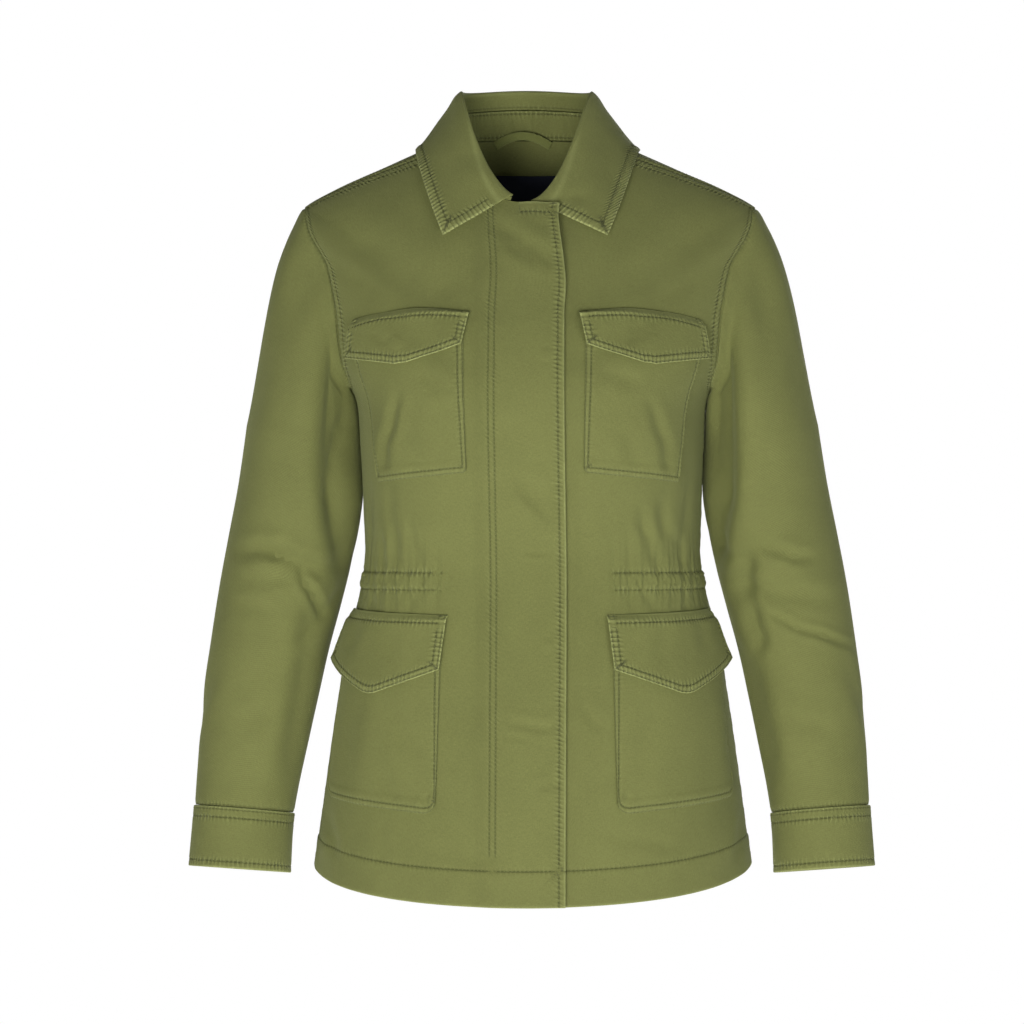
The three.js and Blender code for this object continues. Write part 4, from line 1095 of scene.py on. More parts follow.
# The armhole seam round the sleeve: its point, the body normal and the way off the panel.
def armholeSeam(turn):
    isFront = turn <= 180
    way = np.where(isFront, turn, 360 - turn) / 180

    def at(w):
        drop, frontAngle, backAngle = armholeAt(np.clip(w, 0, 1))
        return np.radians(np.where(isFront, frontAngle, backAngle)), drop

    point, normal = bodyPoint(*at(way)), bodyNormal(*at(way))
    along = bodyPoint(*at(way + 0.02)) - bodyPoint(*at(way - 0.02))
    away = unit(np.cross(along, normal))
    inward = np.sum(away * (bodyPoint(np.pi / 2, 140) - point), axis=-1, keepdims=True) < 0
    return point, normal, np.where(inward, -away, away)


# The normals of a tube, turned to face away from its middle as they do near its end.
def facingOut(normal, base):
    end = base[-20:]
    isInward = np.mean(np.sum(normal[-20:] * (end - end.mean(axis=1, keepdims=True)), -1)) < 0
    return -normal if isInward else normal


def buildSleeve(side, name):
    form = sleeveForm
    turn = np.linspace(0, 360, 141)
    headWay = np.concatenate([[0, 0.004, 0.01, 0.018], np.linspace(0.03, 1, 74)])
    armLength = form["end"] - form["start"]
    armWay = 1 + edgedPlaces(armLength, 2.7, False, True)[1:] / armLength
    way = np.concatenate([headWay, armWay])[:, None]
    seamPoint, seamNormal, away = armholeSeam(turn)
    reach, outX, outY, outZ, inX, inZ = sleeveHeadAt(turn)
    t = np.clip(way, 0, 1)[..., None]
    leave, arrive = t * (1 - t) ** 2, -t * t * (1 - t)
    start = seamPoint + away * (bodyForm["seamGap"] + reach[:, None] * leave)
    head = blend(start, sleeveRingPoint(turn, form["start"]), t * t * (3 - 2 * t))
    head = head + np.stack([outX, outY, outZ], -1) * leave + np.stack([inX, 0 * inX, inZ], -1) * arrive
    armDrop = blend(form["start"], form["end"], np.clip(way - 1, 0, 1))
    base = np.where(way[..., None] > 1, sleeveRingPoint(turn[None, :], armDrop), head)
    normal = gridNormals(base, True)
    normal = facingOut(normal, base)
    normal[:2] = normal[2]
    drop = np.where(way > 1, armDrop, blend(150, form["start"], way)) + 0 * turn[None, :]
    fade = smooth(way, 0.1, 0.5) * (1 - smooth(way, 1.8, 2))
    folds = foldTroughs(turn[None, :], drop, form["folds"][side], form["girthPerDegree"])
    mirror = np.array([side, 1, 1])
    worn = base * mirror
    bodySide = bodyPoint(np.full(60, np.pi / 2), np.linspace(170, 420, 60))
    height = -base[..., 2]
    gap = base[..., 0] - np.interp(height, -bodySide[:, 2], bodySide[:, 0])
    resting = bell(turn[None, :], 180, 45) * smooth(height, 205, 235) * (1 - smooth(height, 305, 345))
    perDegree = form["girthPerDegree"]
    placed = [[place * perDegree, *rest] for place, *rest in form["placed"]]
    folds = folds + placedCreases(turn[None, :] * perDegree, drop, placed)
    out = resting * np.clip(gap - form["restGap"], 0, 6) + fade * folds
    seen = photoCreases(worn, normal * mirror, form["creases"], form["creaseGain"])
    out = out + smooth(way, 0.03, 0.3) * (1 - smooth(way, 1.85, 2)) * seen
    down, around = lengthsAlong(base, 0), lengthsAlong(base, 1)
    easing = bell(down, 6, 7)
    out = out + 0.9 * smooth(down, 0, 4) * (1 - smooth(down, 5, 22)) - 1.3 * bell(down, 0, 1.4)
    out = out + 0.4 * wobble(around[:1] / 3.6, side + 2.0) * easing
    fromCuff = down[-1:] - down
    out = out + 0.3 * wobble(around[-1:] / 5.0, side + 4.0) * bell(fromCuff, 0, 16)
    out = out - 0.8 * bell(fromCuff, 0, 2.2)
    grid = base + normal * out[..., None]
    inward = unit(blend(normal, seamNormal[None], (1 - smooth(way, 0, 0.14))[..., None]))
    lines = [
        (down + 0.5, around[:1], 0.0, 0.5, 1.0),
        (fromCuff - 1.0, around[-1:], 0.0, 0.5, 1.0),
    ]
    seams = nearestSeam(grid.shape[:2], lines)
    wear = 0.35 * bell(down, 0, 1.5)
    outer, inner = grid * mirror, (grid - inward * bodyForm["wall"]) * mirror
    piece = makeShell(f"sleeve_{name}_cloth", outer, inner, seams, wear, isTube=True)
    finishCloth(piece, f"sleeve_{name}", twillMaterial)


cuffLook = {"start": 613.6, "end": 668, "standOut": 1.0, "wall": 2.2, "topRows": (2.2, 9.5), "bottomRow": 6.0}


def buildCuff(side, name):
    look = cuffLook
    turn = np.linspace(0, 360, 141)
    drop = look["start"] + edgedPlaces(look["end"] - look["start"], 1.5)
    base = sleeveRingPoint(turn[None, :], drop[:, None], look["standOut"])
    normal = gridNormals(base, True)
    normal = facingOut(normal, base)
    down, around = lengthsAlong(base, 0), lengthsAlong(base, 1)
    bottom = down[-1:] - down
    out = 0.35 * wobble(around / 19, side + 1.0) * smooth(down, 4, 20)
    out = out + 0.25 * wobble(around / 4.4, side) * bell(down, 9, 6)
    out = out + 0.25 * wobble(around / 4.1, side + 5.0) * bell(bottom, 0, 6)
    out = out - 0.4 * (bell(down, 9.5, 1.2) + bell(bottom, 6, 1.2))
    grid = base + normal * out[..., None]
    mirror = np.array([side, 1, 1])
    lines = [
        (down - look["topRows"][0], around, 0.0, 0.7, 0.8),
        (look["topRows"][1] - down, around, 0.0, 0.9, 1.0),
        (bottom - look["bottomRow"], around, 0.0, 0.9, 1.0),
    ]
    seams = nearestSeam(grid.shape[:2], lines)
    edge = np.minimum(down, bottom)
    wear = 0.75 * bell(bottom, 0, 1.3) + 0.6 * bell(down, 0, 1.2)
    outer, inner = clothFaces(grid, normal, look["wall"], edge)
    outer, inner = outer * mirror, inner * mirror
    piece = makeShell(f"cuff_{name}_cloth", outer, inner, seams, wear, skip=3, isTube=True)
    finishCloth(piece, f"cuff_{name}", twillMaterial)
    columns = np.arange(len(turn), dtype=float)
    stitched = [(whereReached(down.T, value), columns) for value in look["topRows"]]
    stitched.append((whereReached(bottom.T, look["bottomRow"], False), columns))
    makeStitches(f"cuff_{name}_stitches", outer, stitched, normal * mirror, threadMaterial)


for side, name in ((-1, "right"), (1, "left")):
    buildSleeve(side, name)
    buildCuff(side, name)
print("sleeves and cuffs made")

# Pockets and flaps: across is girth from the front centre, down is height below the neck points.
pocketCuts = {
    "chest": {
        "topInner": 178, "topOuter": 196, "innerTop": 55, "outerTop": 176,
        "bottomInner": 307, "bottomOuter": 316, "innerBottom": 52, "outerBottom": 147,
        "corner": 4, "flat": (0.125, 0.14), "area": 0.0125,
    },
    "hip": {
        "topInner": 449, "topOuter": 442, "innerTop": 76, "outerTop": 203,
        "bottomInner": 611, "bottomOuter": 600, "innerBottom": 81, "outerBottom": 216,
        "corner": 12, "flat": (0.155, 0.165), "area": 0.0235,
    },
}
flapCuts = {
    "chest": {
        "topInner": 163, "topMiddle": 161, "topOuter": 170, "innerTop": 48, "outerTop": 172,
        "innerBottom": 55, "outerBottom": 179, "bottomInner": 194, "bottomPoint": 212, "bottomOuter": 203,
        "apex": 0.46, "freeRise": 1.2, "outerRise": 0.6, "flat": (0.125, 0.055), "area": 0.0056,
    },
    "hip": {
        "topInner": 434, "topMiddle": 432, "topOuter": 430, "innerTop": 70.5, "outerTop": 202,
        "innerBottom": 77, "outerBottom": 210, "bottomInner": 483, "bottomPoint": 507, "bottomOuter": 477,
        "apex": 0.5, "freeRise": 1.6, "outerRise": 6, "flat": (0.15, 0.073), "area": 0.009,
    },
}
patchLook = {
    "pocketWall": 2.0, "pocketPuff": 1.4, "patchGap": 0.6, "pocketRows": (0.7, 5.6),
    "flapWall": 2.2, "flapRamp": 0.12, "flapRampOuter": 0.3, "flapRows": (1.8, 7.0), "flapTopRow": 9.0,
    "creaseGain": 1.5, "seamTurning": 13,
    # creases by photograph pixel: from, to, half width in pixels, depth in millimetres
    "creases": [
        [394, 396, 384, 468, 5, 1.6], [420, 372, 446, 392, 8, 0.6], [401, 430, 420, 470, 9, 0.7],
        [651, 404, 671, 471, 6, 1.4], [600, 372, 640, 384, 8, 0.6], [628, 430, 640, 470, 9, 0.6],
        [392, 700, 412, 760, 12, 0.8], [380, 770, 396, 806, 7, 0.6], [424, 796, 428, 812, 4, 1.1],
        [350, 700, 346, 780, 10, 0.9], [660, 700, 640, 770, 12, 0.8], [630, 794, 622, 812, 4, 1.1],
        [726, 690, 736, 780, 7, 1.2], [356, 620, 350, 650, 6, 0.8], [386, 622, 392, 660, 8, 0.6],
        [664, 622, 660, 662, 8, 0.6], [700, 618, 704, 650, 6, 0.8], [372, 330, 384, 344, 6, 0.5],
        [640, 322, 632, 344, 6, 0.5],
    ],
    "roundMarks": [[396, 342, 7, 0.4], [652, 340, 7, 0.35], [384, 664, 7, 0.3], [680, 664, 7, 0.3]],
}


def placeOnFront(across, down):
    shape = across.shape
    across, down = across.ravel(), down.ravel()
    drop = down.copy()
    turns = np.linspace(0, np.pi, 81)[:50]
    for _ in range(4):
        arc = bodyPoint(turns[None, :], drop[:, None])
        steps = np.diff(arc[..., :2], axis=1)
        covered = np.cumsum(np.hypot(steps[..., 0], steps[..., 1]), axis=1)
        run = np.concatenate([np.zeros((len(drop), 1)), covered], axis=1)
        angle = np.array([np.interp(a, line, turns) for a, line in zip(across, run)])
        drop = drop + down + bodyPoint(angle, drop)[:, 2]
    return angle.reshape(shape), drop.reshape(shape)


def acrossPatch(cut, u, v):
    bottom = blend(cut["innerBottom"], cut["outerBottom"], u)
    return blend(blend(cut["innerTop"], cut["outerTop"], u), bottom, v)


def pocketPlaces(cut):
    width, height = cut["outerBottom"] - cut["innerBottom"], cut["bottomInner"] - cut["topInner"]
    u = (edgedPlaces(width, 1.5) / width)[None, :]
    v = (edgedPlaces(height, 1.6) / height)[:, None]
    fromSide = np.minimum(u, 1 - u) * width
    corner = cut["corner"]
    onRound = np.sqrt(np.maximum(corner**2 - (corner - fromSide) ** 2, 0))
    roundOff = np.where(fromSide < corner, corner - onRound, 0)
    bottom = blend(cut["bottomInner"], cut["bottomOuter"], u) - roundOff
    puff = np.sin(np.pi * u) * np.sin(np.pi * (1 + v) / 2)
    across = acrossPatch(cut, u, v)
    down = blend(blend(cut["topInner"], cut["topOuter"], u), bottom, v)
    return across, down, patchLook["patchGap"] + patchLook["pocketPuff"] * puff


def flapPlaces(cut):
    width, height = cut["outerTop"] - cut["innerTop"], cut["bottomPoint"] - cut["topInner"]
    u = (edgedPlaces(width, 1.5) / width)[None, :]
    v = (edgedPlaces(height, 1.3) / height)[:, None]
    bow = cut["topMiddle"] - (cut["topInner"] + cut["topOuter"]) / 2
    top = blend(cut["topInner"], cut["topOuter"], u) + bow * np.sin(np.pi * u)
    apex = cut["apex"]
    point = cut["bottomPoint"] - 1.5 * bell(u, apex, 0.03)
    outerPart = blend(point, cut["bottomOuter"], (u - apex) / (1 - apex))
    bottom = np.where(u < apex, blend(cut["bottomInner"], point, u / apex), outerPart)
    clear = patchLook["pocketWall"] + patchLook["pocketPuff"] + patchLook["patchGap"]
    ramp = blend(patchLook["flapRamp"], patchLook["flapRampOuter"], u * u)
    off = patchLook["patchGap"] + clear * smooth(v / ramp, 0, 1)
    off = off + cut["freeRise"] * v + cut["outerRise"] * u * v * v
    across = acrossPatch(cut, u, v)
    return across, blend(top, bottom, v), off


# The line a set distance in from the sides and bottom of a patch, as grid places.
def insetLine(left, right, bottom, inset, skipTop=0):
    rows, columns = np.arange(left.shape[0], dtype=float), np.arange(left.shape[1], dtype=float)
    leftColumn, rightColumn = whereReached(left, inset), whereReached(right, inset, False)
    bottomRow = whereReached(bottom.T, inset, False)
    isAbove = rows <= np.interp(leftColumn, columns, bottomRow)
    isAboveRight = rows <= np.interp(rightColumn, columns, bottomRow)
    middle = (columns > leftColumn[-1]) & (columns < rightColumn[-1])

    def joined(onLeft, onBottom, onRight):
        rightPart = onRight[isAboveRight][skipTop:][::-1]
        return np.concatenate([onLeft[isAbove][skipTop:], onBottom[middle], rightPart])

    return joined(rows, bottomRow, rows), joined(leftColumn, columns, rightColumn)


def buildPatch(side, name, kind, places, isFlap):
    angle, drop = placeOnFront(places[0], places[1])
    wall = patchLook["flapWall"] if isFlap else patchLook["pocketWall"]
    base, normal = onFront(side, angle, drop, places[2] + wall)
    left, down = lengthsAlong(base, 1), lengthsAlong(base, 0)
    right, bottom = left[:, -1:] - left, down[-1:] - down
    sides = np.minimum(left, right)
    toEdge = np.minimum(sides, bottom)
    along = np.where(sides < bottom, down, left)
    out = photoCreases(base, normal, patchLook["creases"], patchLook["creaseGain"])
    if isFlap:
        out = out + pressedRounds(base, patchLook["roundMarks"], 0)
    first, second = patchLook["flapRows" if isFlap else "pocketRows"]
    topRow = patchLook["flapTopRow"]
    out = out + 0.3 * wobble(along / 4.6, side + 2.0) * bell(toEdge, 3, 4)
    out = out - (0.4 if isFlap else 0.8) * (bell(toEdge, first, 0.9) + bell(toEdge, second, 0.9))
    if not isFlap:  # the turning inside shows through above the bottom edge
        out = out + 0.5 * (1 - smooth(bottom, patchLook["seamTurning"] - 1.5, patchLook["seamTurning"] + 1.0))
    out = out + (0.35 * bell(toEdge, 4.4, 2.2) if isFlap else 0.4 * smooth(toEdge, 5.5, 9))
    if isFlap:
        out = out + 0.5 * bell(down, 5, 3.2) - 0.45 * bell(down, topRow, 1.1)
        out = out + 0.3 * wobble(left / 4.2, side + 3.0) * bell(down, 4, 4)
    grid = base + normal * out[..., None]
    lines = [(toEdge - (first + second) / 2, along, (second - first) / 2, 1.0, 0.9 if isFlap else 0.3)]
    if isFlap:
        lines.append((down - topRow, left, 0.0, 1.0, 1.0))
    seams = nearestSeam(grid.shape[:2], lines)
    edge = np.minimum(toEdge, down)
    wear = (0.85 if isFlap else 0.3) * bell(toEdge, 0, 1.3) + (0.5 if isFlap else 0.0) * bell(down, 0, 1.5)
    wear = wear + (0.2 if isFlap else 0.0) * (1 - smooth(down, topRow - 2.5, topRow)) * smooth(down, 1.5, 4)
    wear = wear + 0.15 * bell(toEdge, 4.4, 1.8)
    outer, inner = clothFaces(grid, normal, wall, edge)
    label = f"{kind}_{'flap' if isFlap else 'pocket'}_{name}"
    piece = makeShell(label + "_cloth", outer, inner, seams, wear, skip=3)
    finishCloth(piece, label, twillMaterial)
    stitched = [insetLine(left, right, bottom, value, 2) for value in (first, second)]
    if isFlap:
        columns = np.arange(left.shape[1], dtype=float)[2:-2]
        stitched.append((whereReached(down.T, topRow)[2:-2], columns))
    makeStitches(label + "_stitches", outer, stitched, normal, threadMaterial)


for kind in ("chest", "hip"):
    pocketAt, flapAt = pocketPlaces(pocketCuts[kind]), flapPlaces(flapCuts[kind])
    for side, name in ((-1, "right"), (1, "left")):
        buildPatch(side, name, kind, pocketAt, False)
        buildPatch(side, name, kind, flapAt, True)
print("pockets and flaps made")

collarForm = {
    # half width, front, back, height at front, height at back, squareness, sweep, height at the side
    "neck": (75, 82, 58, -67.5, 5, 0, 2, 0),
    "stand": (67, 84, 54, -64.5, 33, 0, 2, 26),
    "roll": (60.5, 86, 52, -63.5, 50, 0, 2, 44),
    "edge": (103.5, 141, 84, -182, -16, 0, 2, -9),
    "endLeft": 5, "endRight": 10.5, "pointAngle": 45.5, "rollRound": 3, "rollRoundEnd": 0.8,
    "leafWall": 1.8, "leafBulge": 1.5, "standWall": 2.2, "standFootGap": 0.85, "leafFootGap": 0.7,
    "rowFromEdge": 8.5, "standRowInset": 2.6, "standRipple": 2.1, "creaseGain": 1.5,
    # creases by photograph pixel: from, to, half width in pixels, depth in millimetres
    "creases": [
        [462, 150, 500, 172, 9, 0.8], [430, 150, 470, 214, 16, 0.8],
        [600, 130, 612, 190, 12, 0.8], [590, 196, 560, 200, 7, 0.6],
    ],
}


def collarAngle(place, leftEnd, rightEnd):
    end = np.radians(np.where(place < 0, rightEnd, leftEnd))
    return np.where(place < 0, -1, 1) * blend(np.pi, end, np.abs(place))


def guidePoint(ring, angle):
    return ringPoint(*ring[:7], angle, ring[7])


# The top edge of the panels under the collar, and the stand's directions there.
def collarSeat(place):
    form = collarForm
    angle = collarAngle(place, form["endLeft"], form["endRight"])
    wide = np.abs(angle)
    isFront = (wide < np.radians(bodyForm["shoulderSeam"][0][1]))[:, None]
    zero = np.zeros(place.shape)
    rightSeat, leftSeat = onFront(-1, wide, zero)[0], onFront(1, wide, zero)[0]
    folds = np.where(place < 0, broadFolds(-1, wide, zero), broadFolds(1, wide, zero))
    backSeat = bodyPoint(angle, zero) + bodyNormal(angle, zero) * folds[:, None]
    seat = np.where(isFront, np.where((place < 0)[:, None], rightSeat, leftSeat), backSeat)
    shift = seat - guidePoint(form["neck"], angle)
    top = guidePoint(form["stand"], angle) + shift
    rise = unit(top - seat)
    along = guidePoint(form["neck"], angle + 0.02) - guidePoint(form["neck"], angle - 0.02)
    out = unit(np.cross(along, rise))
    flip = (out[:, 0] * seat[:, 0] + out[:, 1] * seat[:, 1] < 0)[:, None]
    return angle, seat, top, rise, np.where(flip, -out, out), shift


def collarPlaces():
    share = edgedPlaces(220, 1.8, True, False) / 220
    return np.concatenate([share - 1, 1 - share[::-1][1:]])


def buildStand():
    form = collarForm
    place = collarPlaces()
    _, seat, top, rise, out, _ = collarSeat(place)
    height = np.linspace(0, 1, 24)[:, None, None]
    clear = blend(form["standFootGap"], -bodyForm["seamGap"], height)
    base = blend(seat[None], top[None], height) + rise[None] * clear
    down, across = lengthsAlong(base, 0), lengthsAlong(base, 1)
    ripple = 0.35 * wobble(across / 3.2, 2.0) * np.sin(np.pi * height[..., 0])
    ripple = ripple + 0.3 * wobble(across / 7.5, 5.0)
    outward = np.broadcast_to(out[None], base.shape)
    neckFace = base - outward * (form["standWall"] + form["standRipple"] * ripple - 0.2)[..., None]
    inset, toTop = form["standRowInset"], down[-1:] - down
    lines = [(down - inset, across, 0.0, 0.8, 1.0), (toTop - inset, across, 0.0, 0.8, 1.0)]
    seams = nearestSeam(base.shape[:2], lines)
    wear = 0.25 * bell(toTop, 0, 1.5)
    piece = makeShell("collar_stand_cloth", neckFace, base, seams, wear, skip=2)
    finishCloth(piece, "collar_stand", twillMaterial)
    columns = np.arange(len(place), dtype=float)[3:-3]
    footRow, topRow = whereReached(down.T, inset), whereReached(toTop.T, inset, False)
    stitched = [(row[3:-3], columns) for row in (footRow, topRow)]
    makeStitches("collar_stand_stitches", neckFace, stitched, -outward, threadMaterial)


def leafGuides(place):
    form = collarForm
    angle, _, top, rise, out, shift = collarSeat(place)
    edge = guidePoint(form["edge"], collarAngle(place, form["pointAngle"], form["pointAngle"]))
    nearEnd = smooth(np.abs(place), 0.8, 1)[:, None]
    radius = blend(form["rollRound"], form["rollRoundEnd"], nearEnd)
    foot = top - out * form["standWall"] + rise * form["leafFootGap"]
    roll = guidePoint(form["roll"], angle) + shift - out * form["standWall"]
    up, fall = unit(roll - foot), unit(edge - roll)
    outward = unit(fall - up * np.sum(fall * up, -1, keepdims=True))
    crest = roll + outward * radius + up * radius * 0.4
    beyond = roll + outward * (2 * radius + form["leafWall"]) + fall * radius
    bulge = blend(beyond, edge, 0.5) + outward * blend(form["leafBulge"], 0.6, nearEnd)
    shoulder = blend(blend(beyond, bulge, 0.5), blend(beyond, edge, 0.25), 0.3)
    stand, hang = blend(foot, roll, 0.55), blend(bulge, edge, 0.5)
    return np.stack([foot, stand, roll, crest, beyond, shoulder, bulge, hang, edge])


def buildLeaf():
    form = collarForm
    place = collarPlaces()
    guides = leafGuides(place)
    steps = np.linalg.norm(np.diff(guides, axis=0), axis=-1).mean(axis=1)
    levels = np.concatenate([[0], np.cumsum(steps)])
    curl = levels[4] + 4
    onFoot, onCurl = np.linspace(0, levels[1], 8)[:-1], np.linspace(levels[1], curl, 26)[:-1]
    fine = np.concatenate([onFoot, onCurl, curl + edgedPlaces(levels[-1] - curl, 1.5, False, True)])
    guideAt = tableReader(np.concatenate([levels[:, None], guides.reshape(len(levels), -1)], axis=1))
    base = np.moveaxis(guideAt(fine), 0, -1).reshape(len(fine), len(place), 3)
    across = np.gradient(base, axis=1)
    normal = unit(np.cross(across, np.gradient(base, axis=0)))
    down, around = lengthsAlong(base, 0), lengthsAlong(base, 1)
    bottom = down[-1:] - down
    ends = np.minimum(around, around[:, -1:] - around)
    isLeaf = smooth(down, levels[3], levels[4] + 6)
    toEdge = np.minimum(bottom, np.where(isLeaf > 0.5, ends, ends + 20 * (1 - isLeaf)))
    along = np.where(bottom < ends, around, down)
    out = photoCreases(base, normal, form["creases"], form["creaseGain"]) * isLeaf
    out = out + 0.4 * wobble(along / 4.3, 1.0) * bell(toEdge, 3, 4.5) * isLeaf
    out = out - 0.35 * bell(toEdge, form["rowFromEdge"], 1.2) * isLeaf
    out = out + 0.35 * bell(toEdge, 4.4, 2.6) * isLeaf
    grid = base + normal * out[..., None]
    lines = [
        (toEdge - form["rowFromEdge"] / 2 - 0.25, along, form["rowFromEdge"] / 2 - 0.25, isLeaf, 1.1),
        (down - 2.4, around, 0.0, 0.5 * (1 - isLeaf), 0.6),
    ]
    seams = nearestSeam(grid.shape[:2], lines)
    wear = (0.95 * bell(toEdge, 0, 1.4) + 0.2 * bell(toEdge, 4.5, 2.2)) * isLeaf
    wear = wear + 0.3 * bell(down, levels[3], 2.5)
    outer, inner = clothFaces(grid, normal, form["leafWall"], np.minimum(bottom, ends))
    piece = makeShell("collar_leaf_cloth", outer, inner, seams, wear, skip=2)
    finishCloth(piece, "collar_leaf", twillMaterial)
    columns, rows = np.arange(len(place), dtype=float), np.arange(len(fine), dtype=float)
    inset = form["rowFromEdge"]
    bottomRow = whereReached(bottom.T, inset, False)
    leftColumn, rightColumn = whereReached(around, inset), whereReached(around[:, -1:] - around, inset, False)
    visible = (down[:, 0] > levels[4]) & (rows < bottomRow[int(leftColumn[-10])])
    middle = (columns > leftColumn[-1]) & (columns < rightColumn[-1])
    path = (
        np.concatenate([rows[visible], bottomRow[middle], rows[visible][::-1]]),
        np.concatenate([leftColumn[visible], columns[middle], rightColumn[visible][::-1]]),
    )
    makeStitches("collar_leaf_stitches", outer, [path], normal, threadMaterial)


buildStand()
buildLeaf()
print("collar made")

hangerTape = {
    "path": [
        (-29.8, 50.6, -0.5), (-21.4, 49.6, 4.4), (-12.8, 48.8, 7.5), (-4.3, 48.4, 8.6),
        (4.2, 48.8, 7.5), (12.8, 49.6, 4.4), (21.2, 50.6, -0.5),
    ],
    "halfTape": 3.9, "halfThick": 1.0,
}


def buildHanger():
    look = hangerTape
    guides = np.array(look["path"], float)
    places = np.linspace(0, len(guides) - 1, 60)
    middle = tableReader(np.column_stack([np.arange(len(guides)), guides]))(places).T
    ahead = unit(np.gradient(middle, axis=0))
    across = unit(np.stack([-ahead[:, 2], np.zeros(len(ahead)), ahead[:, 0]], -1))
    share = np.array([-1, -0.9, -0.6, 0, 0.6, 0.9, 1])[None, :, None]
    flat = middle[:, None] + across[:, None] * share * look["halfTape"]
    thick = look["halfThick"] * (1 - 0.7 * np.abs(share) ** 6)
    outer, inner = flat - thick * np.array([0, 1, 0]), flat + thick * np.array([0, 1, 0])
    seams = unstitched(outer)
    wear = 0.4 * np.abs(share[..., 0]) ** 8 * np.ones(outer.shape[:2])
    piece = makeShell("hanger_loop_tape", outer, inner, seams, wear, skip=1)
    finishCloth(piece, "hanger_loop", tapeMaterial)
    line = np.arange(len(places), dtype=float)[2:-2]
    normal = np.broadcast_to(np.array([0.0, -1.0, 0.0]), outer.shape)
    stitched = [(line, np.full(len(line), column)) for column in (1.4, 4.6)]
    makeStitches("hanger_loop_stitches", outer, stitched, normal, threadMaterial)


labelCloth = {"halfWide": 34, "tops": (26, 68), "wall": 1.0, "gap": 0.9}


def buildLabel():
    look = labelCloth
    heights = look["tops"][0] + edgedPlaces(look["tops"][1] - look["tops"][0], 1.5)
    drop = heights * 0.6
    for _ in range(12):
        drop = drop + (heights + bodyPoint(np.pi, drop)[:, 2]) * 0.5
    drop = np.maximum(drop, 1)[:, None]
    x = -look["halfWide"] + edgedPlaces(2 * look["halfWide"], 1.5)[None, :]
    angle = np.pi - x / bodyRingAt(drop)[0]
    normal = bodyNormal(angle, drop)
    off = -bodyForm["wall"] - look["gap"] - look["wall"] + 0.25 * wobble(x / 9, 2.0)
    inner = bodyPoint(angle, drop) + normal * (off + look["wall"])[..., None]
    outer = bodyPoint(angle, drop) + normal * off[..., None]
    fromEnds = np.minimum(heights - heights[0], heights[-1] - heights)[:, None]
    edge = np.minimum(look["halfWide"] - np.abs(x), fromEnds)
    close = (0.4 * look["wall"] * roundedEdge(edge, 0.8))[..., None]
    seams = unstitched(outer)
    outer, inner = outer + normal * close, inner - normal * close
    piece = makeShell("neck_label_cloth", outer, inner, seams, np.zeros(outer.shape[:2]), skip=2)
    finishCloth(piece, "neck_label", labelMaterial)


oliveTape = dict(oliveTwill, dark=(98, 104, 54), light=(118, 124, 70), ribWidth=0.0018, weaveHeight=0.14)
tapeMaterial = makeTwill("oliveTape", oliveTape)
navyLabel = dict(
    # the label's painted groove shade, a darker navy for the shadow in seam grooves; the label has no
    # stitched rows for it to show on
    oliveTwill, dark=(14, 18, 33), light=(22, 28, 48), worn=(50, 56, 76), grooveAndShade=(10, 12, 22),
    ribWidth=0.0009, weaveHeight=0.08, crumpleHeight=0.05, sheen=0.1, roughness=0.66,
)
labelMaterial = makeTwill("navyLabel", navyLabel)
buildHanger()
buildLabel()
print("loop and label made")

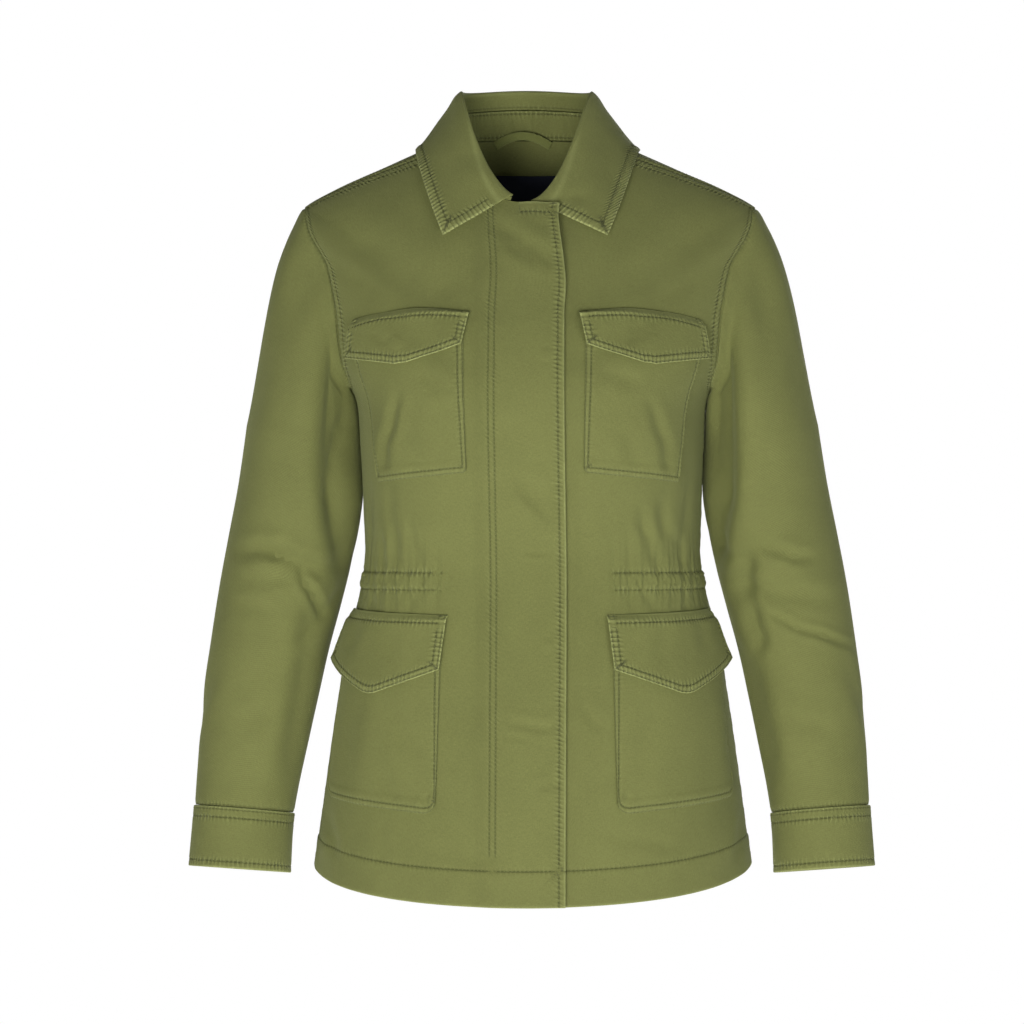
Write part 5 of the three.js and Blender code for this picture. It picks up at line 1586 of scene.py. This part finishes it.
studio = {
    "floorHeight": -1.42, "floorHalf": 3.2, "floorColour": (246, 246, 245),
    "floorGlow": {"cast": 0.3, "seen": 0.82}, "worldLight": 0.17, "worldSeen": 1.0,
    # place, size, power, colour
    "lights": {
        "keySoftbox": ((-0.6, -3.3, -1.1), 1.2, 111, (1.0, 0.985, 0.96)),
        "fillSoftbox": ((1.5, -3.1, -1.0), 1.3, 42, (0.985, 0.99, 1.0)),
        "backSoftbox": ((0.5, 3.0, 0.6), 2.0, 75, (1.0, 1.0, 1.0)),
    },
    "aim": (0.0, 0.0, -0.36),
}


# One value where the camera looks straight at a surface and another for the light that it casts.
def seenOrCast(tree, seen, cast):
    isSeen = tree.nodes.new("ShaderNodeLightPath").outputs["Is Camera Ray"]
    return mathNode(tree, "MULTIPLY_ADD", isSeen, seen - cast, cast)


def buildStudio():
    half = studio["floorHalf"]
    mesh = bpy.data.meshes.new("studioFloor")
    signs = ((-1, -1), (1, -1), (1, 1), (-1, 1))
    mesh.from_pydata([(half * x, half * y, studio["floorHeight"]) for x, y in signs], [], [(0, 1, 2, 3)])
    mesh.materials.append(makePlain("paleFloor", studio["floorColour"], 0.9))
    tree = mesh.materials[0].node_tree
    shader = tree.nodes["Principled BSDF"]
    shader.inputs["Emission Strength"].default_value = 1.0
    glow = studio["floorGlow"]
    tree.links.new(seenOrCast(tree, glow["seen"], glow["cast"]), shader.inputs["Emission Color"])
    floor = addObject("studioFloor", mesh)

    for name, (place, size, power, colour) in studio["lights"].items():
        data = bpy.data.lights.new(name, "AREA")
        data.size, data.energy, data.color = size, power, colour
        light = addObject(name, data)
        light.location = place
        light.rotation_euler = (Vector(studio["aim"]) - light.location).to_track_quat("-Z", "Y").to_euler()

    world = bpy.data.worlds.new("paleStudio")
    world.use_nodes = True
    tree = world.node_tree
    background = tree.nodes["Background"]
    background.inputs["Color"].default_value = (1, 1, 1, 1)
    tree.links.new(seenOrCast(tree, studio["worldSeen"], studio["worldLight"]), background.inputs["Strength"])
    bpy.context.scene.world = world

    camera = addObject("photoCamera", bpy.data.cameras.new("photoCamera"))
    distance = photoView["distance"] / 1000
    camera.location = (photoView["x"] / 1000, -distance, photoView["z"] / 1000)
    camera.rotation_euler = (np.pi / 2, 0, 0)
    camera.data.sensor_width = photoView["sensor"]
    seenWidth = 2 * photoView["middle"] * photoView["millimetresPerPixel"] / 1000
    camera.data.lens = photoView["sensor"] * distance / seenWidth
    bpy.context.scene.camera = camera
    bpy.context.scene.view_settings.view_transform = "Standard"


buildStudio()
print("studio made")
